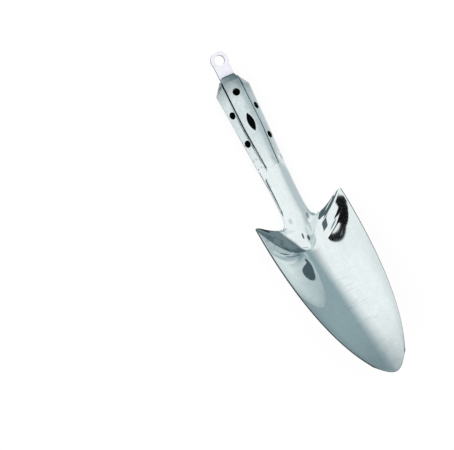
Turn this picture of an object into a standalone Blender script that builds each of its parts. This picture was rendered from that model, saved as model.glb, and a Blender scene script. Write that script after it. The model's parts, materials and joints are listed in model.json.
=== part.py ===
"""Garden trowel of pressed, polished steel, with a hollow grip and a hanging tab.

Each piece is modelled with the handle along X: the grip towards -X, the tip of the blade towards +X
and the open side of the scoop towards +Z, with the nose of the frog at the origin. An empty then lays
the trowel on its back, on the heel of the grip and the belly of the blade, centred on the origin.
"""

import math

import bmesh
import bpy
from mathutils import Vector

MM = 0.001

# Blade and shank, one pressed sheet
SHEET_THICKNESS = 1.3 * MM
HORN_X = -34.6 * MM
HORN_HALF_WIDTH = 40.8 * MM
HORN_Z = 15.2 * MM
HORN_ROUNDING = 2.4 * MM
TIP_X = 117.1 * MM
TIP_Z = 61.2 * MM
RIM_SAG = 7.6 * MM
OUTLINE_POWER = 2.3
OUTLINE_ROUNDNESS = 0.57
TIP_ARC_START = 0.93
NOTCH_X = -22.6 * MM
NOTCH_STATION_X = -16.0 * MM
NOTCH_HALF_WIDTH = 18.3 * MM
NOTCH_Z = 0.0 * MM
SHOULDER_HOLLOW = 1.5
HORN_STATION_X = -9.0 * MM
FLOOR_Z = -9.0 * MM
FLOOR_BEND_START_X = -1.5 * MM
FLOOR_BEND_END_X = 6.0 * MM
FLOOR_SLOPE = 0.64
WALL_FLATNESS = 0.3
TIP_BOW = 1.8

# Frog, the raised nose where the shank runs out on the blade
FROG_HALF_WIDTH = 19.0 * MM
FROG_HEIGHT = 9.8 * MM
NOSE_START_X = -6.0 * MM
NOSE_END_X = 3.0 * MM
NOSE_HALF_WIDTH = 9.0 * MM
NOSE_HEIGHT = 4.0 * MM
FROG_FLANK = 1.2

# Grip: a back shell and a raised front panel
GRIP_THICKNESS = 0.9 * MM
GRIP_MOUTH_X = -76.0 * MM
GRIP_HEEL_X = -152.0 * MM
GRIP_END_X = -161.5 * MM
GRIP_MOUTH_HALF_WIDTH = 13.4 * MM
GRIP_HEEL_HALF_WIDTH = 16.6 * MM
GRIP_MOUTH_BACK_Z = -11.4 * MM
GRIP_HEEL_BACK_Z = -19.0 * MM
GRIP_MOUTH_FRONT_Z = 3.2 * MM
GRIP_HEEL_FRONT_Z = 4.2 * MM
FACET_ANGLE = math.radians(41)
HOLE_PLACE_ON_FACET = 0.4
BACK_FLAT_SHARE = 0.4
BACK_EDGE_RADIUS = 3.0 * MM
WIDEST_EDGE_RADIUS = 1.0 * MM
PANEL_HALF_WIDTH = 7.8 * MM
PANEL_MOUTH_HALF_WIDTH = 5.7 * MM
PANEL_TAPER_X = -114.0 * MM
PANEL_EDGE_DROP = 0.8 * MM
PANEL_CROWN_RADIUS = 20.0 * MM
PANEL_EDGE_RADIUS = 0.8 * MM
CROWN_PLACE = 0.5
CROWN_DROP_SHARE = 0.3
PANEL_STEP = 1.0 * MM
PANEL_MOUTH_STEP = 0.3 * MM
PANEL_FLANGE = 3.2 * MM
PANEL_MOUTH_FLANGE = 0.9 * MM
SEAM_GAP = 1.2 * MM
DOME_START_X = -156.5 * MM
DOME_END_X = -164.5 * MM
DOME_END_HALF_WIDTH = 5.3 * MM
DOME_END_Z = 1.6 * MM
DOME_LIP = 0.9 * MM
DOME_CROWN_RADIUS = 2.0 * MM
DOME_EDGE_RADIUS = 0.2 * MM
END_HALF_WIDTH = 9.0 * MM
END_TOP_Z = 1.0 * MM
END_SIDE_Z = -1.2 * MM
END_LIP_Z = -5.4 * MM
END_LIP_HALF_WIDTH = 7.4 * MM
END_RADIUS = 1.0 * MM

# Shank, rolled from the blade's sheet with an open seam along its back, and stepped in to a tang
SHANK_CENTRE_Z = -2.8 * MM
SHANK_WAIST_X = -56.0 * MM
WAIST_HALF_WIDTH = 12.9 * MM
WAIST_EDGE_HALF_WIDTH = 6.4 * MM
WAIST_FRONT_Z = 1.7 * MM
WAIST_EDGE_DROP = 0.5 * MM
WAIST_FACET_SLOPE = 0.6
WAIST_BACK_Z = -8.8 * MM
MOUTH_SHARPNESS = 16
WAIST_SHARPNESS = 8
SHANK_WRAP = math.radians(170)
FLARE_WRAP = math.radians(100)
WRAP_OPENS_X = -62.0 * MM
FLARE_START_X = -38.0 * MM
TANG_END_X = -97.5 * MM
TANG_STEP_START_X = -75.7 * MM
TANG_STEP_END_X = -74.3 * MM
TANG_INSET = 1.25 * MM
TANG_FRONT_INSET = 3.1 * MM

# Holes in the grip
PANEL_HOLE_X = -147.6 * MM
PANEL_HOLE_DIAMETER = 6.8 * MM
LENS_X = -118.5 * MM
LENS_LENGTH = 17.5 * MM
LENS_WIDTH = 6.0 * MM
SIDE_HOLES_X = (-130.5 * MM, -102.4 * MM)
SIDE_HOLE_LENGTH = 6.6 * MM
SIDE_HOLE_WIDTH = 5.6 * MM
CUTTER_DEPTH = 6.0 * MM

# Crimp marks that hold the grip on the tang
CRIMP_X = -79.5 * MM
CRIMP_RADIUS = 2.2 * MM
CRIMP_DEPTH = 0.35 * MM

# Hanging tab and its pin
PIN_X = -154.5 * MM
PIN_Z = -4.0 * MM
PIN_DIAMETER = 3.0 * MM
PIN_CLEARANCE = 0.2 * MM
PIN_HEAD_DIAMETER = 4.6 * MM
PIN_HEAD_THICKNESS = 0.6 * MM
EAR_RADIUS = 3.0 * MM
EAR_THICKNESS = 1.0 * MM
EAR_INSET = 0.1 * MM
TAB_REST_ANGLE = math.radians(9)
TAB_THICKNESS = 3.0 * MM
TAB_BARREL_DIAMETER = 6.4 * MM
TAB_BASE_HALF_WIDTH = 6.4 * MM
TAB_NECK_HALF_WIDTH = 7.3 * MM
TAB_LENGTH = 25.6 * MM
TAB_RING_RADIUS = 7.9 * MM
TAB_HOLE_DIAMETER = 9.2 * MM
RING_EXTRA_THICKNESS = 0.02 * MM
BARREL_SIDE_PLAY = 0.2 * MM

STEEL = (0.78, 0.82, 0.83, 1.0)
PIN_STEEL = (0.55, 0.57, 0.58, 1.0)
TAB_PLASTIC = (0.86, 0.86, 0.92, 1.0)


def mix(start, end, share):
    return start + (end - start) * share


def share_of(value, start, end):
    """How far the value is on its way from start to end, kept between 0 and 1."""
    return min(1.0, max(0.0, (value - start) / (end - start)))


def eased(share):
    return share * share * (3 - 2 * share)


def steps_between(start, end, count):
    """The places that divide a stretch into equal steps, with its start but not its end."""
    return [mix(start, end, i / count) for i in range(count)]


def clear_scene():
    for obj in list(bpy.data.objects):
        bpy.data.objects.remove(obj)


def new_collection(name):
    collection = bpy.data.collections.new(name)
    bpy.context.scene.collection.children.link(collection)
    return collection


def new_material(name, colour, roughness, metallic):
    material = bpy.data.materials.new(name)
    material.use_nodes = True
    shader = material.node_tree.nodes["Principled BSDF"]
    shader.inputs["Base Color"].default_value = colour
    shader.inputs["Roughness"].default_value = roughness
    shader.inputs["Metallic"].default_value = metallic
    return material


def object_from(name, bm, collection, material=None):
    bmesh.ops.recalc_face_normals(bm, faces=bm.faces)
    mesh = bpy.data.meshes.new(name)
    bm.to_mesh(mesh)
    bm.free()
    obj = bpy.data.objects.new(name, mesh)
    collection.objects.link(obj)
    if material:
        mesh.materials.append(material)
    return obj


def lofted_sheet(name, rows, thickness, collection, material):
    """A sheet through rows of points, with its thickness behind the face that the rows describe."""
    mesh = bpy.data.meshes.new(name)
    width = len(rows[0])
    faces = []
    for i in range(len(rows) - 1):
        for j in range(width - 1):
            first = i * width + j
            faces.append((first, first + width, first + width + 1, first + 1))
    mesh.from_pydata([point for row in rows for point in row], [], faces)
    mesh.materials.append(material)
    mesh.shade_smooth()
    obj = bpy.data.objects.new(name, mesh)
    collection.objects.link(obj)
    solidify = obj.modifiers.new("Sheet", "SOLIDIFY")
    solidify.thickness = thickness
    solidify.offset = -1
    return obj


def boolean(obj, tool, operation="DIFFERENCE"):
    modifier = obj.modifiers.new(tool.name, "BOOLEAN")
    modifier.operation = operation
    modifier.solver = "EXACT"
    modifier.object = tool


def helper(name, bm, cutters):
    obj = object_from(name, bm, cutters)
    obj.hide_render = True
    obj.display_type = "WIRE"
    return obj


def cylinder_mesh(diameter, length, segments=32):
    """A cylinder along Z, centred on the origin."""
    bm = bmesh.new()
    bmesh.ops.create_cone(
        bm,
        cap_ends=True,
        segments=segments,
        radius1=diameter / 2,
        radius2=diameter / 2,
        depth=length,
    )
    return bm


def rim_point(share):
    """The blade's right rim, from the horn at 0 to the tip at 1."""
    return Vector(
        (
            mix(HORN_X, TIP_X, share),
            HORN_HALF_WIDTH * (1 - share**OUTLINE_POWER) ** OUTLINE_ROUNDNESS,
            mix(HORN_Z, TIP_Z, share) - RIM_SAG * share * (1 - share),
        )
    )


def shoulder_point(share):
    """The back-swept edge of the right shoulder, from the notch beside the frog to the horn."""
    return Vector(
        (
            mix(NOTCH_X, HORN_X, share**SHOULDER_HOLLOW),
            mix(NOTCH_HALF_WIDTH, HORN_HALF_WIDTH, share),
            mix(NOTCH_Z, HORN_Z, share),
        )
    )


def floor_height(x):
    """The lowest line of the scoop: level under the frog, then bending up towards the tip."""
    bend = max(0.0, min(x, FLOOR_BEND_END_X) - FLOOR_BEND_START_X)
    bend_length = FLOOR_BEND_END_X - FLOOR_BEND_START_X
    height = FLOOR_Z + FLOOR_SLOPE * bend * bend / (2 * bend_length)
    if x <= FLOOR_BEND_END_X:
        return height
    run = x - FLOOR_BEND_END_X
    whole_run = TIP_X - FLOOR_BEND_END_X
    left_to_rise = TIP_Z - height - FLOOR_SLOPE * whole_run
    return height + FLOOR_SLOPE * run + left_to_rise * (run / whole_run) ** 2


def frog_height(x, y):
    """How far the frog stands above the scoop at a place in plan."""
    if x >= NOSE_END_X:
        return 0.0
    rounding = math.sqrt(1 - share_of(x, NOSE_START_X, NOSE_END_X) ** 2)
    back = share_of(x, NOSE_START_X, NOTCH_X)
    half_width = mix(NOSE_HALF_WIDTH, FROG_HALF_WIDTH, back) * rounding
    height = mix(NOSE_HEIGHT, FROG_HEIGHT, back) * rounding
    across = min(1.0, abs(y) / half_width)
    return height * (1 - across * across) ** FROG_FLANK


def edge_point(station_x):
    """The blade's right edge on the section that crosses the centre line at station_x."""
    if station_x < HORN_STATION_X:
        return shoulder_point(share_of(station_x, NOTCH_STATION_X, HORN_STATION_X))
    return rim_point(TIP_ARC_START * share_of(station_x, HORN_STATION_X, TIP_X))


def rounded_edge_point(station_x):
    """The same edge, with the horn's corner rounded off."""
    past_horn = station_x - HORN_STATION_X
    if abs(past_horn) >= HORN_ROUNDING:
        return edge_point(station_x)
    share = (past_horn + HORN_ROUNDING) / (2 * HORN_ROUNDING)
    start = edge_point(HORN_STATION_X - HORN_ROUNDING)
    corner = edge_point(HORN_STATION_X)
    end = edge_point(HORN_STATION_X + HORN_ROUNDING)
    return start.lerp(corner, share).lerp(corner.lerp(end, share), share)


def scoop_point(station_x, across):
    """A point of the blade, on the section that crosses the centre line at station_x."""
    rim = rounded_edge_point(station_x)
    bowed = across * across
    x = mix(station_x, rim.x, abs(across) ** TIP_BOW)
    y = rim.y * across
    raised = bowed * (1 + WALL_FLATNESS * (1 - bowed))
    return Vector((x, y, mix(floor_height(station_x), rim.z, raised) + frog_height(x, y)))


def shank_planes(x):
    """The flats of the shank's section at x, as unit normals in (y, z) and distances from its centre."""
    front, edge, widest, back = handle_section(x)
    centre = Vector((0, SHANK_CENTRE_Z))
    inset = 1 - share_of(x, TANG_STEP_START_X, TANG_STEP_END_X)
    facet = (widest - edge).orthogonal().normalized()
    rear = (Vector((widest.x * BACK_FLAT_SHARE, back)) - widest).orthogonal().normalized()
    planes = [(Vector((0, 1)), front - centre.y - inset * TANG_FRONT_INSET)]
    planes.append((Vector((0, -1)), centre.y - back - inset * TANG_INSET))
    for normal in (facet, rear):
        if normal.x < 0:
            normal = -normal
        distance = normal.dot(widest - centre) - inset * TANG_INSET
        planes.append((normal, distance))
        planes.append((Vector((-normal.x, normal.y)), distance))
    return planes


def shank_point(station_x, across):
    """A point of the rolled shank, where across runs from its crown to its back seam."""
    opening = eased(share_of(station_x, WRAP_OPENS_X, NOTCH_X))
    angle = mix(SHANK_WRAP, FLARE_WRAP, opening) * across
    towards = Vector((math.sin(angle), math.cos(angle)))
    sharpness = mix(
        MOUTH_SHARPNESS, WAIST_SHARPNESS, share_of(station_x, GRIP_MOUTH_X, SHANK_WAIST_X)
    )
    reaches = [max(0.0, normal.dot(towards) / away) for normal, away in shank_planes(station_x)]
    radius = sum(reach**sharpness for reach in reaches) ** (-1 / sharpness)
    return Vector((station_x, radius * towards.x, SHANK_CENTRE_Z + radius * towards.y))


def sheet_point(station_x, across):
    """A point of the right half of the blade and shank, which run into each other at the flare."""
    flare = eased(share_of(station_x, FLARE_START_X, NOTCH_STATION_X))
    if flare == 0:
        return shank_point(station_x, across)
    scoop = scoop_point(max(station_x, NOTCH_STATION_X), across)
    return shank_point(station_x, across).lerp(scoop, flare)


def mirrored_row(half_row):
    """The whole row, from the left edge to the right, of a right half that starts at the middle."""
    left = [Vector((p.x, -p.y, p.z)) for p in reversed(half_row[1:])]
    return left + half_row


def make_blade_and_shank(collection, material):
    horn_start = HORN_STATION_X - HORN_ROUNDING
    horn_end = HORN_STATION_X + HORN_ROUNDING
    stations = steps_between(TANG_END_X, TANG_STEP_START_X, 3)
    stations += steps_between(TANG_STEP_START_X, TANG_STEP_END_X, 1)
    stations += steps_between(TANG_STEP_END_X, FLARE_START_X, 8)
    stations += steps_between(FLARE_START_X, NOTCH_STATION_X, 9)
    stations += steps_between(NOTCH_STATION_X, horn_start, 6)
    stations += steps_between(horn_start, horn_end, 5)
    stations += steps_between(horn_end, FLOOR_BEND_END_X, 9)
    stations += steps_between(FLOOR_BEND_END_X, TIP_X, 18) + [TIP_X]
    divisions = 20
    rows = []
    for x in stations:
        rows.append(mirrored_row([sheet_point(x, i / divisions) for i in range(divisions + 1)]))
    return lofted_sheet("blade_and_shank", rows, SHEET_THICKNESS, collection, material)


def grip_share(x):
    """How far back along the grip x is: 0 at the mouth and 1 at the heel."""
    return share_of(x, GRIP_MOUTH_X, GRIP_HEEL_X)


def panel_half_width(x):
    return mix(PANEL_MOUTH_HALF_WIDTH, PANEL_HALF_WIDTH, share_of(x, GRIP_MOUTH_X, PANEL_TAPER_X))


def panel_front(x):
    return mix(GRIP_MOUTH_FRONT_Z, GRIP_HEEL_FRONT_Z, grip_share(x))


def place_on_facet(x):
    front, edge, widest, back = handle_section(x)
    return edge.lerp(widest, HOLE_PLACE_ON_FACET)


def handle_section(x):
    """The right half of the handle's outline at x, grip or shank.

    It gives the height of the front, the (y, z) of the side facet's two ends, beside the front and at
    the widest place, and the height of the back.
    """
    share = grip_share(x)
    half_width = mix(GRIP_MOUTH_HALF_WIDTH, GRIP_HEEL_HALF_WIDTH, share)
    front = mix(GRIP_MOUTH_FRONT_Z, GRIP_HEEL_FRONT_Z, share)
    back = mix(GRIP_MOUTH_BACK_Z, GRIP_HEEL_BACK_Z, share)
    edge_drop = PANEL_EDGE_DROP + mix(PANEL_MOUTH_STEP, PANEL_STEP, share)
    edge_y = panel_half_width(x) + SEAM_GAP
    waist = eased(share_of(x, GRIP_MOUTH_X, SHANK_WAIST_X))
    half_width = mix(half_width, WAIST_HALF_WIDTH, waist)
    front = mix(front, WAIST_FRONT_Z, waist)
    back = mix(back, WAIST_BACK_Z, waist)
    edge_drop = mix(edge_drop, WAIST_EDGE_DROP, waist)
    edge = Vector((mix(edge_y, WAIST_EDGE_HALF_WIDTH, waist), front - edge_drop))
    fall = (half_width - edge.x) * mix(math.tan(FACET_ANGLE), WAIST_FACET_SLOPE, waist)
    return front, edge, Vector((half_width, edge.y - fall)), back


def rounded(corners, radii, steps=4):
    """An open path through corners in (y, z), with an arc in place of each inner corner."""
    path = [corners[0]]
    for before, corner, after, radius in zip(corners, corners[1:], corners[2:], radii):
        into = (corner - before).normalized()
        out = (after - corner).normalized()
        turn = into.angle(out)
        reach = radius * math.tan(turn / 2)
        start = corner - into * reach
        side = Vector((-into.y, into.x))
        if side.dot(out) < 0:
            side = -side
        centre = start + side * radius
        for i in range(steps + 1):
            swing = turn * i / steps
            path.append(centre - side * radius * math.cos(swing) + into * radius * math.sin(swing))
    return path + [corners[-1]]


def shell_half(x):
    """The right half of the back shell's section at x, from the middle of the back to the panel."""
    front, edge, widest, back = handle_section(x)
    corners = [Vector((0, back)), Vector((widest.x * BACK_FLAT_SHARE, back)), widest, edge]
    return rounded(corners, (BACK_EDGE_RADIUS, WIDEST_EDGE_RADIUS))


def shell_end_half():
    """The right half of the opening that the shell's tapered end leaves for the tab."""
    corners = [
        Vector((0, END_LIP_Z)),
        Vector((END_LIP_HALF_WIDTH, END_LIP_Z)),
        Vector((END_HALF_WIDTH, END_SIDE_Z)),
        Vector((END_HALF_WIDTH, END_TOP_Z)),
    ]
    return rounded(corners, (END_RADIUS, END_RADIUS))


def section_row(x, half):
    return mirrored_row([Vector((x, p.x, p.y)) for p in half])


def make_back_shell(collection, material):
    rows = []
    end_steps = 3
    for i in range(end_steps, 0, -1):
        share = i / end_steps
        x = mix(GRIP_HEEL_X, GRIP_END_X, share)
        half = [full.lerp(end, share) for full, end in zip(shell_half(GRIP_HEEL_X), shell_end_half())]
        rows.append(section_row(x, half))
    stations = steps_between(GRIP_HEEL_X, PANEL_TAPER_X, 5)
    stations += steps_between(PANEL_TAPER_X, GRIP_MOUTH_X, 5) + [GRIP_MOUTH_X]
    for x in stations:
        rows.append(section_row(x, shell_half(x)))
    rows.reverse()
    return lofted_sheet("grip_back_shell", rows, GRIP_THICKNESS, collection, material)


def panel_half(x):
    """The right half of the front panel's section at x, from its crown to the edge of its flange."""
    half_width = panel_half_width(x)
    front = panel_front(x)
    edge = front - PANEL_EDGE_DROP
    flange = mix(PANEL_MOUTH_FLANGE, PANEL_FLANGE, grip_share(x))
    corners = [
        Vector((0, front)),
        Vector((half_width * CROWN_PLACE, front - PANEL_EDGE_DROP * CROWN_DROP_SHARE)),
        Vector((half_width, edge)),
        Vector((half_width, edge - flange)),
    ]
    return rounded(corners, (PANEL_CROWN_RADIUS, PANEL_EDGE_RADIUS))


def dome_end_half():
    """The right half of the lip in which the panel's dome ends, above the tab."""
    corners = [
        Vector((0, DOME_END_Z)),
        Vector((DOME_END_HALF_WIDTH * CROWN_PLACE, DOME_END_Z)),
        Vector((DOME_END_HALF_WIDTH, DOME_END_Z - DOME_LIP * CROWN_DROP_SHARE)),
        Vector((DOME_END_HALF_WIDTH, DOME_END_Z - DOME_LIP)),
    ]
    return rounded(corners, (DOME_CROWN_RADIUS, DOME_EDGE_RADIUS))


def make_front_panel(collection, material):
    rows = []
    dome_steps = 6
    full = panel_half(DOME_START_X)
    for i in range(dome_steps, 0, -1):
        swing = math.pi / 2 * i / dome_steps
        x = mix(DOME_START_X, DOME_END_X, math.sin(swing))
        share = 1 - math.cos(swing)
        rows.append(section_row(x, [p.lerp(end, share) for p, end in zip(full, dome_end_half())]))
    stations = steps_between(DOME_START_X, PANEL_TAPER_X, 6)
    stations += steps_between(PANEL_TAPER_X, GRIP_MOUTH_X, 5) + [GRIP_MOUTH_X]
    for x in stations:
        rows.append(section_row(x, panel_half(x)))
    return lofted_sheet("grip_front_panel", rows, GRIP_THICKNESS, collection, material)


def cut_panel_holes(panel, cutters):
    hole = helper("panel_hole", cylinder_mesh(PANEL_HOLE_DIAMETER, CUTTER_DEPTH), cutters)
    hole.location = (PANEL_HOLE_X, 0, panel_front(PANEL_HOLE_X))
    boolean(panel, hole)

    half_length = LENS_LENGTH / 2
    half_width = LENS_WIDTH / 2
    radius = (half_length**2 + half_width**2) / (2 * half_width)
    reach = math.asin(half_length / radius)
    steps = 14
    bm = bmesh.new()
    outline = []
    for side in (1, -1):
        for i in range(steps):
            angle = mix(-reach, reach, i / steps)
            y = side * (radius * math.cos(angle) - radius + half_width)
            outline.append(bm.verts.new((side * radius * math.sin(angle), y, -CUTTER_DEPTH / 2)))
    face = bm.faces.new(outline)
    made = bmesh.ops.extrude_face_region(bm, geom=[face])["geom"]
    top = [item for item in made if isinstance(item, bmesh.types.BMVert)]
    bmesh.ops.translate(bm, verts=top, vec=(0, 0, CUTTER_DEPTH))
    lens = helper("lens_slot", bm, cutters)
    lens.location = (LENS_X, 0, panel_front(LENS_X))
    boolean(panel, lens)


def cut_side_holes(shell, cutters):
    for side, name in ((1, "right"), (-1, "left")):
        for number, x in enumerate(SIDE_HOLES_X, start=1):
            middle = place_on_facet(x)
            cutter = helper(
                f"{name}_hole_{number}", cylinder_mesh(SIDE_HOLE_LENGTH, CUTTER_DEPTH), cutters
            )
            cutter.scale.y = SIDE_HOLE_WIDTH / SIDE_HOLE_LENGTH
            cutter.location = (x, side * middle.x, middle.y)
            cutter.rotation_euler = (-side * FACET_ANGLE, 0, 0)
            boolean(shell, cutter)


def add_ears(panel, cutters):
    """Ears inside the panel's flanges, bored for the pin."""
    top = panel_front(PIN_X) - PANEL_EDGE_DROP - PANEL_FLANGE / 2
    for side, name in ((1, "right"), (-1, "left")):
        y = side * (PANEL_HALF_WIDTH - EAR_INSET - EAR_THICKNESS / 2)
        bm = cylinder_mesh(2 * EAR_RADIUS, EAR_THICKNESS)
        for vert in bm.verts:
            if vert.co.y > 0:
                vert.co.y += top - PIN_Z - EAR_RADIUS
        ear = helper(f"{name}_ear", bm, cutters)
        ear.location = (PIN_X, y, PIN_Z)
        ear.rotation_euler = (math.pi / 2, 0, 0)
        boolean(panel, ear, "UNION")
    bore = helper(
        "ear_bore", cylinder_mesh(PIN_DIAMETER + 2 * PIN_CLEARANCE, 3 * PANEL_HALF_WIDTH), cutters
    )
    bore.location = (PIN_X, 0, PIN_Z)
    bore.rotation_euler = (math.pi / 2, 0, 0)
    boolean(panel, bore)


def press_crimp_marks(panel, shell, cutters):
    """Shallow dimples near the grip's mouth, pressed in on both facets and on the panel."""
    middle = place_on_facet(CRIMP_X)
    lift = CRIMP_RADIUS - CRIMP_DEPTH
    places = (
        (shell, middle.x + lift * math.sin(FACET_ANGLE), middle.y + lift * math.cos(FACET_ANGLE)),
        (shell, -middle.x - lift * math.sin(FACET_ANGLE), middle.y + lift * math.cos(FACET_ANGLE)),
        (panel, 0, panel_front(CRIMP_X) + lift),
    )
    for number, (piece, y, z) in enumerate(places, start=1):
        bm = bmesh.new()
        bmesh.ops.create_icosphere(bm, subdivisions=2, radius=CRIMP_RADIUS)
        ball = helper(f"crimp_{number}", bm, cutters)
        ball.location = (CRIMP_X, y, z)
        boolean(piece, ball)


def make_tab(collection, cutters, material):
    """The tab, with its origin on the pin's axis and its ring towards -X."""
    bm = bmesh.new()
    bmesh.ops.create_cube(bm, size=1)
    for vert in bm.verts:
        at_ring = vert.co.x < 0
        half_width = TAB_NECK_HALF_WIDTH if at_ring else TAB_BASE_HALF_WIDTH
        x = -TAB_LENGTH + TAB_RING_RADIUS * 0.2 if at_ring else 0
        vert.co = (x, 2 * vert.co.y * half_width, vert.co.z * TAB_THICKNESS)
    tab = object_from("hanging_tab", bm, collection, material)

    ring_thickness = TAB_THICKNESS + RING_EXTRA_THICKNESS
    ring = helper("tab_ring", cylinder_mesh(2 * TAB_RING_RADIUS, ring_thickness, 48), cutters)
    ring.location = (-TAB_LENGTH, 0, 0)
    boolean(tab, ring, "UNION")
    barrel_length = 2 * TAB_BASE_HALF_WIDTH - BARREL_SIDE_PLAY
    barrel = helper("tab_barrel", cylinder_mesh(TAB_BARREL_DIAMETER, barrel_length), cutters)
    barrel.rotation_euler = (math.pi / 2, 0, 0)
    boolean(tab, barrel, "UNION")
    hole = helper("tab_hole", cylinder_mesh(TAB_HOLE_DIAMETER, 2 * TAB_THICKNESS, 40), cutters)
    hole.location = (-TAB_LENGTH, 0, 0)
    boolean(tab, hole)
    bore_diameter = PIN_DIAMETER + 2 * PIN_CLEARANCE
    bore = helper("tab_bore", cylinder_mesh(bore_diameter, 3 * TAB_BASE_HALF_WIDTH), cutters)
    bore.rotation_euler = (math.pi / 2, 0, 0)
    boolean(tab, bore)
    for piece in (ring, barrel, hole, bore):
        piece.parent = tab
    tab.location = (PIN_X, 0, PIN_Z)
    tab.rotation_euler = (0, TAB_REST_ANGLE, 0)
    return tab


def make_pin(collection, material):
    """The cross pin, with a flat head outside each ear."""
    head_start = PANEL_HALF_WIDTH + PIN_CLEARANCE
    head_end = head_start + PIN_HEAD_THICKNESS
    profile = [
        (0, -head_end),
        (PIN_HEAD_DIAMETER / 2, -head_end),
        (PIN_HEAD_DIAMETER / 2, -head_start),
        (PIN_DIAMETER / 2, -head_start),
        (PIN_DIAMETER / 2, head_start),
        (PIN_HEAD_DIAMETER / 2, head_start),
        (PIN_HEAD_DIAMETER / 2, head_end),
        (0, head_end),
    ]
    bm = bmesh.new()
    verts = [bm.verts.new((radius, y, 0)) for radius, y in profile]
    edges = [bm.edges.new(pair) for pair in zip(verts, verts[1:])]
    bmesh.ops.spin(
        bm,
        geom=verts + edges,
        cent=(0, 0, 0),
        axis=(0, 1, 0),
        angle=2 * math.pi,
        steps=28,
        use_merge=True,
    )
    bmesh.ops.remove_doubles(bm, verts=bm.verts, dist=0.001 * MM)
    pin = object_from("tab_pin", bm, collection, material)
    pin.location = (PIN_X, 0, PIN_Z)
    return pin


def evaluated_points(obj):
    graph = bpy.context.evaluated_depsgraph_get()
    evaluated = obj.evaluated_get(graph)
    points = [evaluated.matrix_world @ vert.co for vert in evaluated.data.vertices]
    return points


def lay_down(pieces, blade, shell, collection):
    """Parents the pieces to an empty that rests them on the grip's heel and the blade's belly."""
    bpy.context.view_layer.update()
    heel = min(evaluated_points(shell), key=lambda p: p.z)
    belly = [p for p in evaluated_points(blade) if p.x > FLARE_START_X]
    tilt = min(math.atan2(p.z - heel.z, p.x - heel.x) for p in belly)
    root = bpy.data.objects.new("trowel", None)
    collection.objects.link(root)
    for piece in pieces:
        piece.parent = root
    root.rotation_euler = (0, tilt, 0)
    bpy.context.view_layer.update()
    points = [p for piece in pieces if piece.type == "MESH" for p in evaluated_points(piece)]
    low = [min(p[i] for p in points) for i in range(3)]
    high = [max(p[i] for p in points) for i in range(3)]
    root.location = (-(low[0] + high[0]) / 2, -(low[1] + high[1]) / 2, -low[2])


def main():
    clear_scene()
    parts = new_collection("Garden trowel")
    cutters = new_collection("Cutters")
    cutters.hide_render = True
    steel = new_material("Polished steel", STEEL, 0.12, 1.0)
    grip_steel = new_material("Grip steel", STEEL, 0.22, 1.0)
    pin_steel = new_material("Pin steel", PIN_STEEL, 0.35, 1.0)
    plastic = new_material("Tab plastic", TAB_PLASTIC, 0.25, 0.0)

    blade = make_blade_and_shank(parts, steel)
    shell = make_back_shell(parts, grip_steel)
    cut_side_holes(shell, cutters)
    panel = make_front_panel(parts, grip_steel)
    cut_panel_holes(panel, cutters)
    add_ears(panel, cutters)
    press_crimp_marks(panel, shell, cutters)
    tab = make_tab(parts, cutters, plastic)
    pin = make_pin(parts, pin_steel)

    loose_helpers = [obj for obj in cutters.objects if obj.parent is None]
    pieces = [blade, shell, panel, tab, pin]
    lay_down(pieces + loose_helpers, blade, shell, parts)


main()
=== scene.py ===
"""Garden trowel of pressed, polished steel: its finished surfaces, its finishes and a studio.

Sizes are those of the trowel before it is laid down, in millimetres in the formulas: the handle
along X, the tip of the blade towards +X, the open side of the scoop towards +Z and the nose of the
frog at zero.
"""

import json
import math
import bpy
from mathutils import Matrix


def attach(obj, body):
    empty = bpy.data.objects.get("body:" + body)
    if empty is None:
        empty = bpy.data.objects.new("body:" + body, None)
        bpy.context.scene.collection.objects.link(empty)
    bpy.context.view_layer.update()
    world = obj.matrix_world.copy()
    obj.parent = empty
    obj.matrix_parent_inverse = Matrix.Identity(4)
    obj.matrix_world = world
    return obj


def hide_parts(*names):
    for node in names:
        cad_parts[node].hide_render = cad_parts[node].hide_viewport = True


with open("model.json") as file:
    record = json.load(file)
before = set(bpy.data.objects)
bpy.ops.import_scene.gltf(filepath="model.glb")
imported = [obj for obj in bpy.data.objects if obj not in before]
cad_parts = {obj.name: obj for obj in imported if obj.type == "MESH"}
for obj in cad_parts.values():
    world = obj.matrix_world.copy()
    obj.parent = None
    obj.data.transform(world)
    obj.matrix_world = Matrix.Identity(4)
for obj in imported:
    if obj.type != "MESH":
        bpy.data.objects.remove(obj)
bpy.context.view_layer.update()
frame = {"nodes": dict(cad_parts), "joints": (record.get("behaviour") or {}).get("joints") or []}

from types import SimpleNamespace

import bmesh
import bpy
from bpy.props import FloatProperty, FloatVectorProperty, IntProperty, PointerProperty
from mathutils import Matrix, Vector

bl_info = {
    "name": "Garden trowel",
    "version": (1, 0, 0),
    "blender": (4, 5, 0),
    "location": "3D View > Sidebar > Trowel",
    "description": "Builds a polished steel garden trowel with a hollow grip and a hanging tab",
    "category": "Object",
}

MM = 0.001


# Sizes and colours


def prop(kind, description, default, **settings):
    """A property that still lacks its name."""
    return lambda name: kind(name=name, description=description, default=default, **settings)


def length(description, millimetres):
    return prop(FloatProperty, description, millimetres * MM, unit="LENGTH", precision=5)


def number(description, value):
    return prop(FloatProperty, description, value)


def count(description, value):
    return prop(IntProperty, description, value)


def turn(description, degrees):
    return prop(FloatProperty, description, math.radians(degrees), unit="ROTATION")


def colour(description, *shade):
    return prop(FloatVectorProperty, description, shade, subtype="COLOR", size=3, min=0, max=1)


def point(description, *millimetres):
    place = tuple(value * MM for value in millimetres)
    return prop(FloatVectorProperty, description, place, subtype="XYZ_LENGTH", unit="LENGTH")


def title(key):
    return key.replace("_", " ").capitalize()


def titled(group):
    """Names each property of the group after its key."""
    for key, make in group.__annotations__.items():
        group.__annotations__[key] = make(title(key))
    return group


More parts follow.
